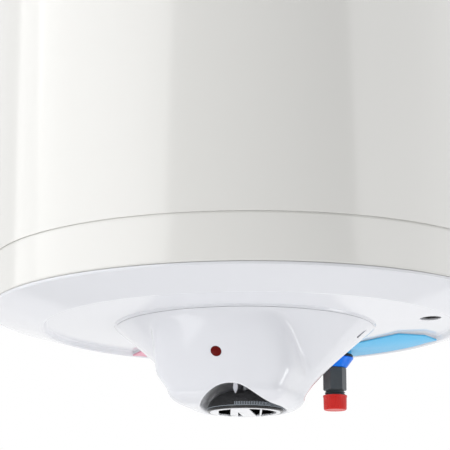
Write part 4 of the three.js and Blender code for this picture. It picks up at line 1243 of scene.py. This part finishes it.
def makeFloor():
    half = stage["floorHalf"]
    corners = [(x, y, stage["floorLevel"]) for x, y in boxOutline(-half, half, -half, half)]
    floor = meshObject("floor", corners, [(0, 1, 2, 3)])
    material, tree, shader = newMaterial("pale_floor", (0.86, 0.86, 0.86), 0.7)
    back = addNode(tree, "ShaderNodeBsdfTransparent")
    side = addNode(tree, "ShaderNodeNewGeometry")
    mix = addNode(tree, "ShaderNodeMixShader")
    tree.links.new(side.outputs["Backfacing"], mix.inputs[0])
    tree.links.new(shader.outputs[0], mix.inputs[1])
    tree.links.new(back.outputs[0], mix.inputs[2])
    tree.links.new(mix.outputs[0], tree.nodes["Material Output"].inputs["Surface"])
    floor.data.materials.append(material)


def makeWorld():
    world = bpy.data.worlds.new("studio")
    bpy.context.scene.world = world
    world.use_nodes = True
    tree = world.node_tree
    background = tree.nodes["Background"]
    background.inputs["Color"].default_value = (1, 1, 1, 1)
    rays = addNode(tree, "ShaderNodeLightPath")
    seen = rays.outputs["Is Camera Ray"]
    for other in ("Is Glossy Ray", "Is Transmission Ray"):
        either = addNode(tree, "ShaderNodeMath", {0: seen, 1: rays.outputs[other]}, operation="MAXIMUM")
        seen = either.outputs[0]
    strength = addNode(tree, "ShaderNodeMapRange", {"Value": seen}, To_Min=stage["worldFill"], To_Max=1.0)
    tree.links.new(strength.outputs["Result"], background.inputs["Strength"])


# A light stands at an azimuth (0 in front, positive to the right), an elevation and a distance from
# the foot of the jacket, and has a width and a height. The last value is how strongly a lamp lights
# that place, or how bright a card looks. A card only shows in gloss, and a lamp only lights.
lamps = {
    "key": (-43.5, 8, 2.6, 1.4, 1.4, 1.18),
    "under": (0, -86, 1.05, 1.6, 1.6, 1.3858),
    "low_right": (85, -48, 1.5, 1.0, 0.7, 0.46),
    "back_right": (140, -22, 1.6, 1.4, 1.0, 0.28),
    "right": (70, 12, 2.6, 1.4, 1.4, 0.07),
}
cards = {
    "left_card": (-51, 20, 4.0, 5.2, 2.9, 2.3),
    "left_end_card": (-93, 20, 4.0, 1.3, 2.9, 1.33),
    "right_card": (92.8, 20, 4.0, 5.1, 2.4, 1.9),
    "low_right_card": (115, -38, 1.5, 0.6, 0.35, 4),
    "low_left_card": (-52, -53, 1.3, 0.45, 0.3, 1.7),
}


# The way from the heater to something at an azimuth and an elevation.
def heading(azimuth, elevation):
    turn, rise = math.radians(azimuth), math.radians(elevation)
    return Vector((math.sin(turn) * math.cos(rise), -math.cos(turn) * math.cos(rise), math.sin(rise)))


# Stands a lamp or a camera at a place and turns its back to the way given.
def facing(name, data, place, away):
    made = placed(name, data)
    made.location = place
    made.rotation_mode = "QUATERNION"
    made.rotation_quaternion = (-away).to_track_quat("-Z", "Y")
    return made


def makeLight(name, azimuth, elevation, distance, width, height, power, card):
    light = bpy.data.lights.new(name, "AREA")
    light.shape = "RECTANGLE"
    light.size, light.size_y = width, height
    light.energy = power
    away = heading(azimuth, elevation)
    made = facing(name, light, tankAxis + Vector((0, 0, partingLine)) + away * distance, away)
    made.visible_camera = False
    made.visible_diffuse = not card
    made.visible_glossy = card


def makeLights():
    for name, (*place, distance, width, height, strength) in lamps.items():
        makeLight(name, *place, distance, width, height, strength * math.pi * distance ** 2, False)
    for name, (*place, width, height, strength) in cards.items():
        makeLight(name, *place, width, height, strength * math.pi * width * height, True)


view = {
    "place": (0.4631, -1.9102, -0.850),
    "azimuth": 16.5,
    "elevation": -13.04,
    "lens": 144,
    "sensor": 36,
}


def makeCamera():
    camera = bpy.data.cameras.new("camera")
    camera.lens, camera.sensor_width = view["lens"], view["sensor"]
    camera.clip_start, camera.clip_end = 0.05, 50
    away = heading(view["azimuth"], view["elevation"])
    bpy.context.scene.camera = facing("camera", camera, view["place"], away)


makeFloor()
makeWorld()
makeLights()
makeCamera()
bpy.context.scene.view_settings.view_transform = "Standard"
print("stage made")
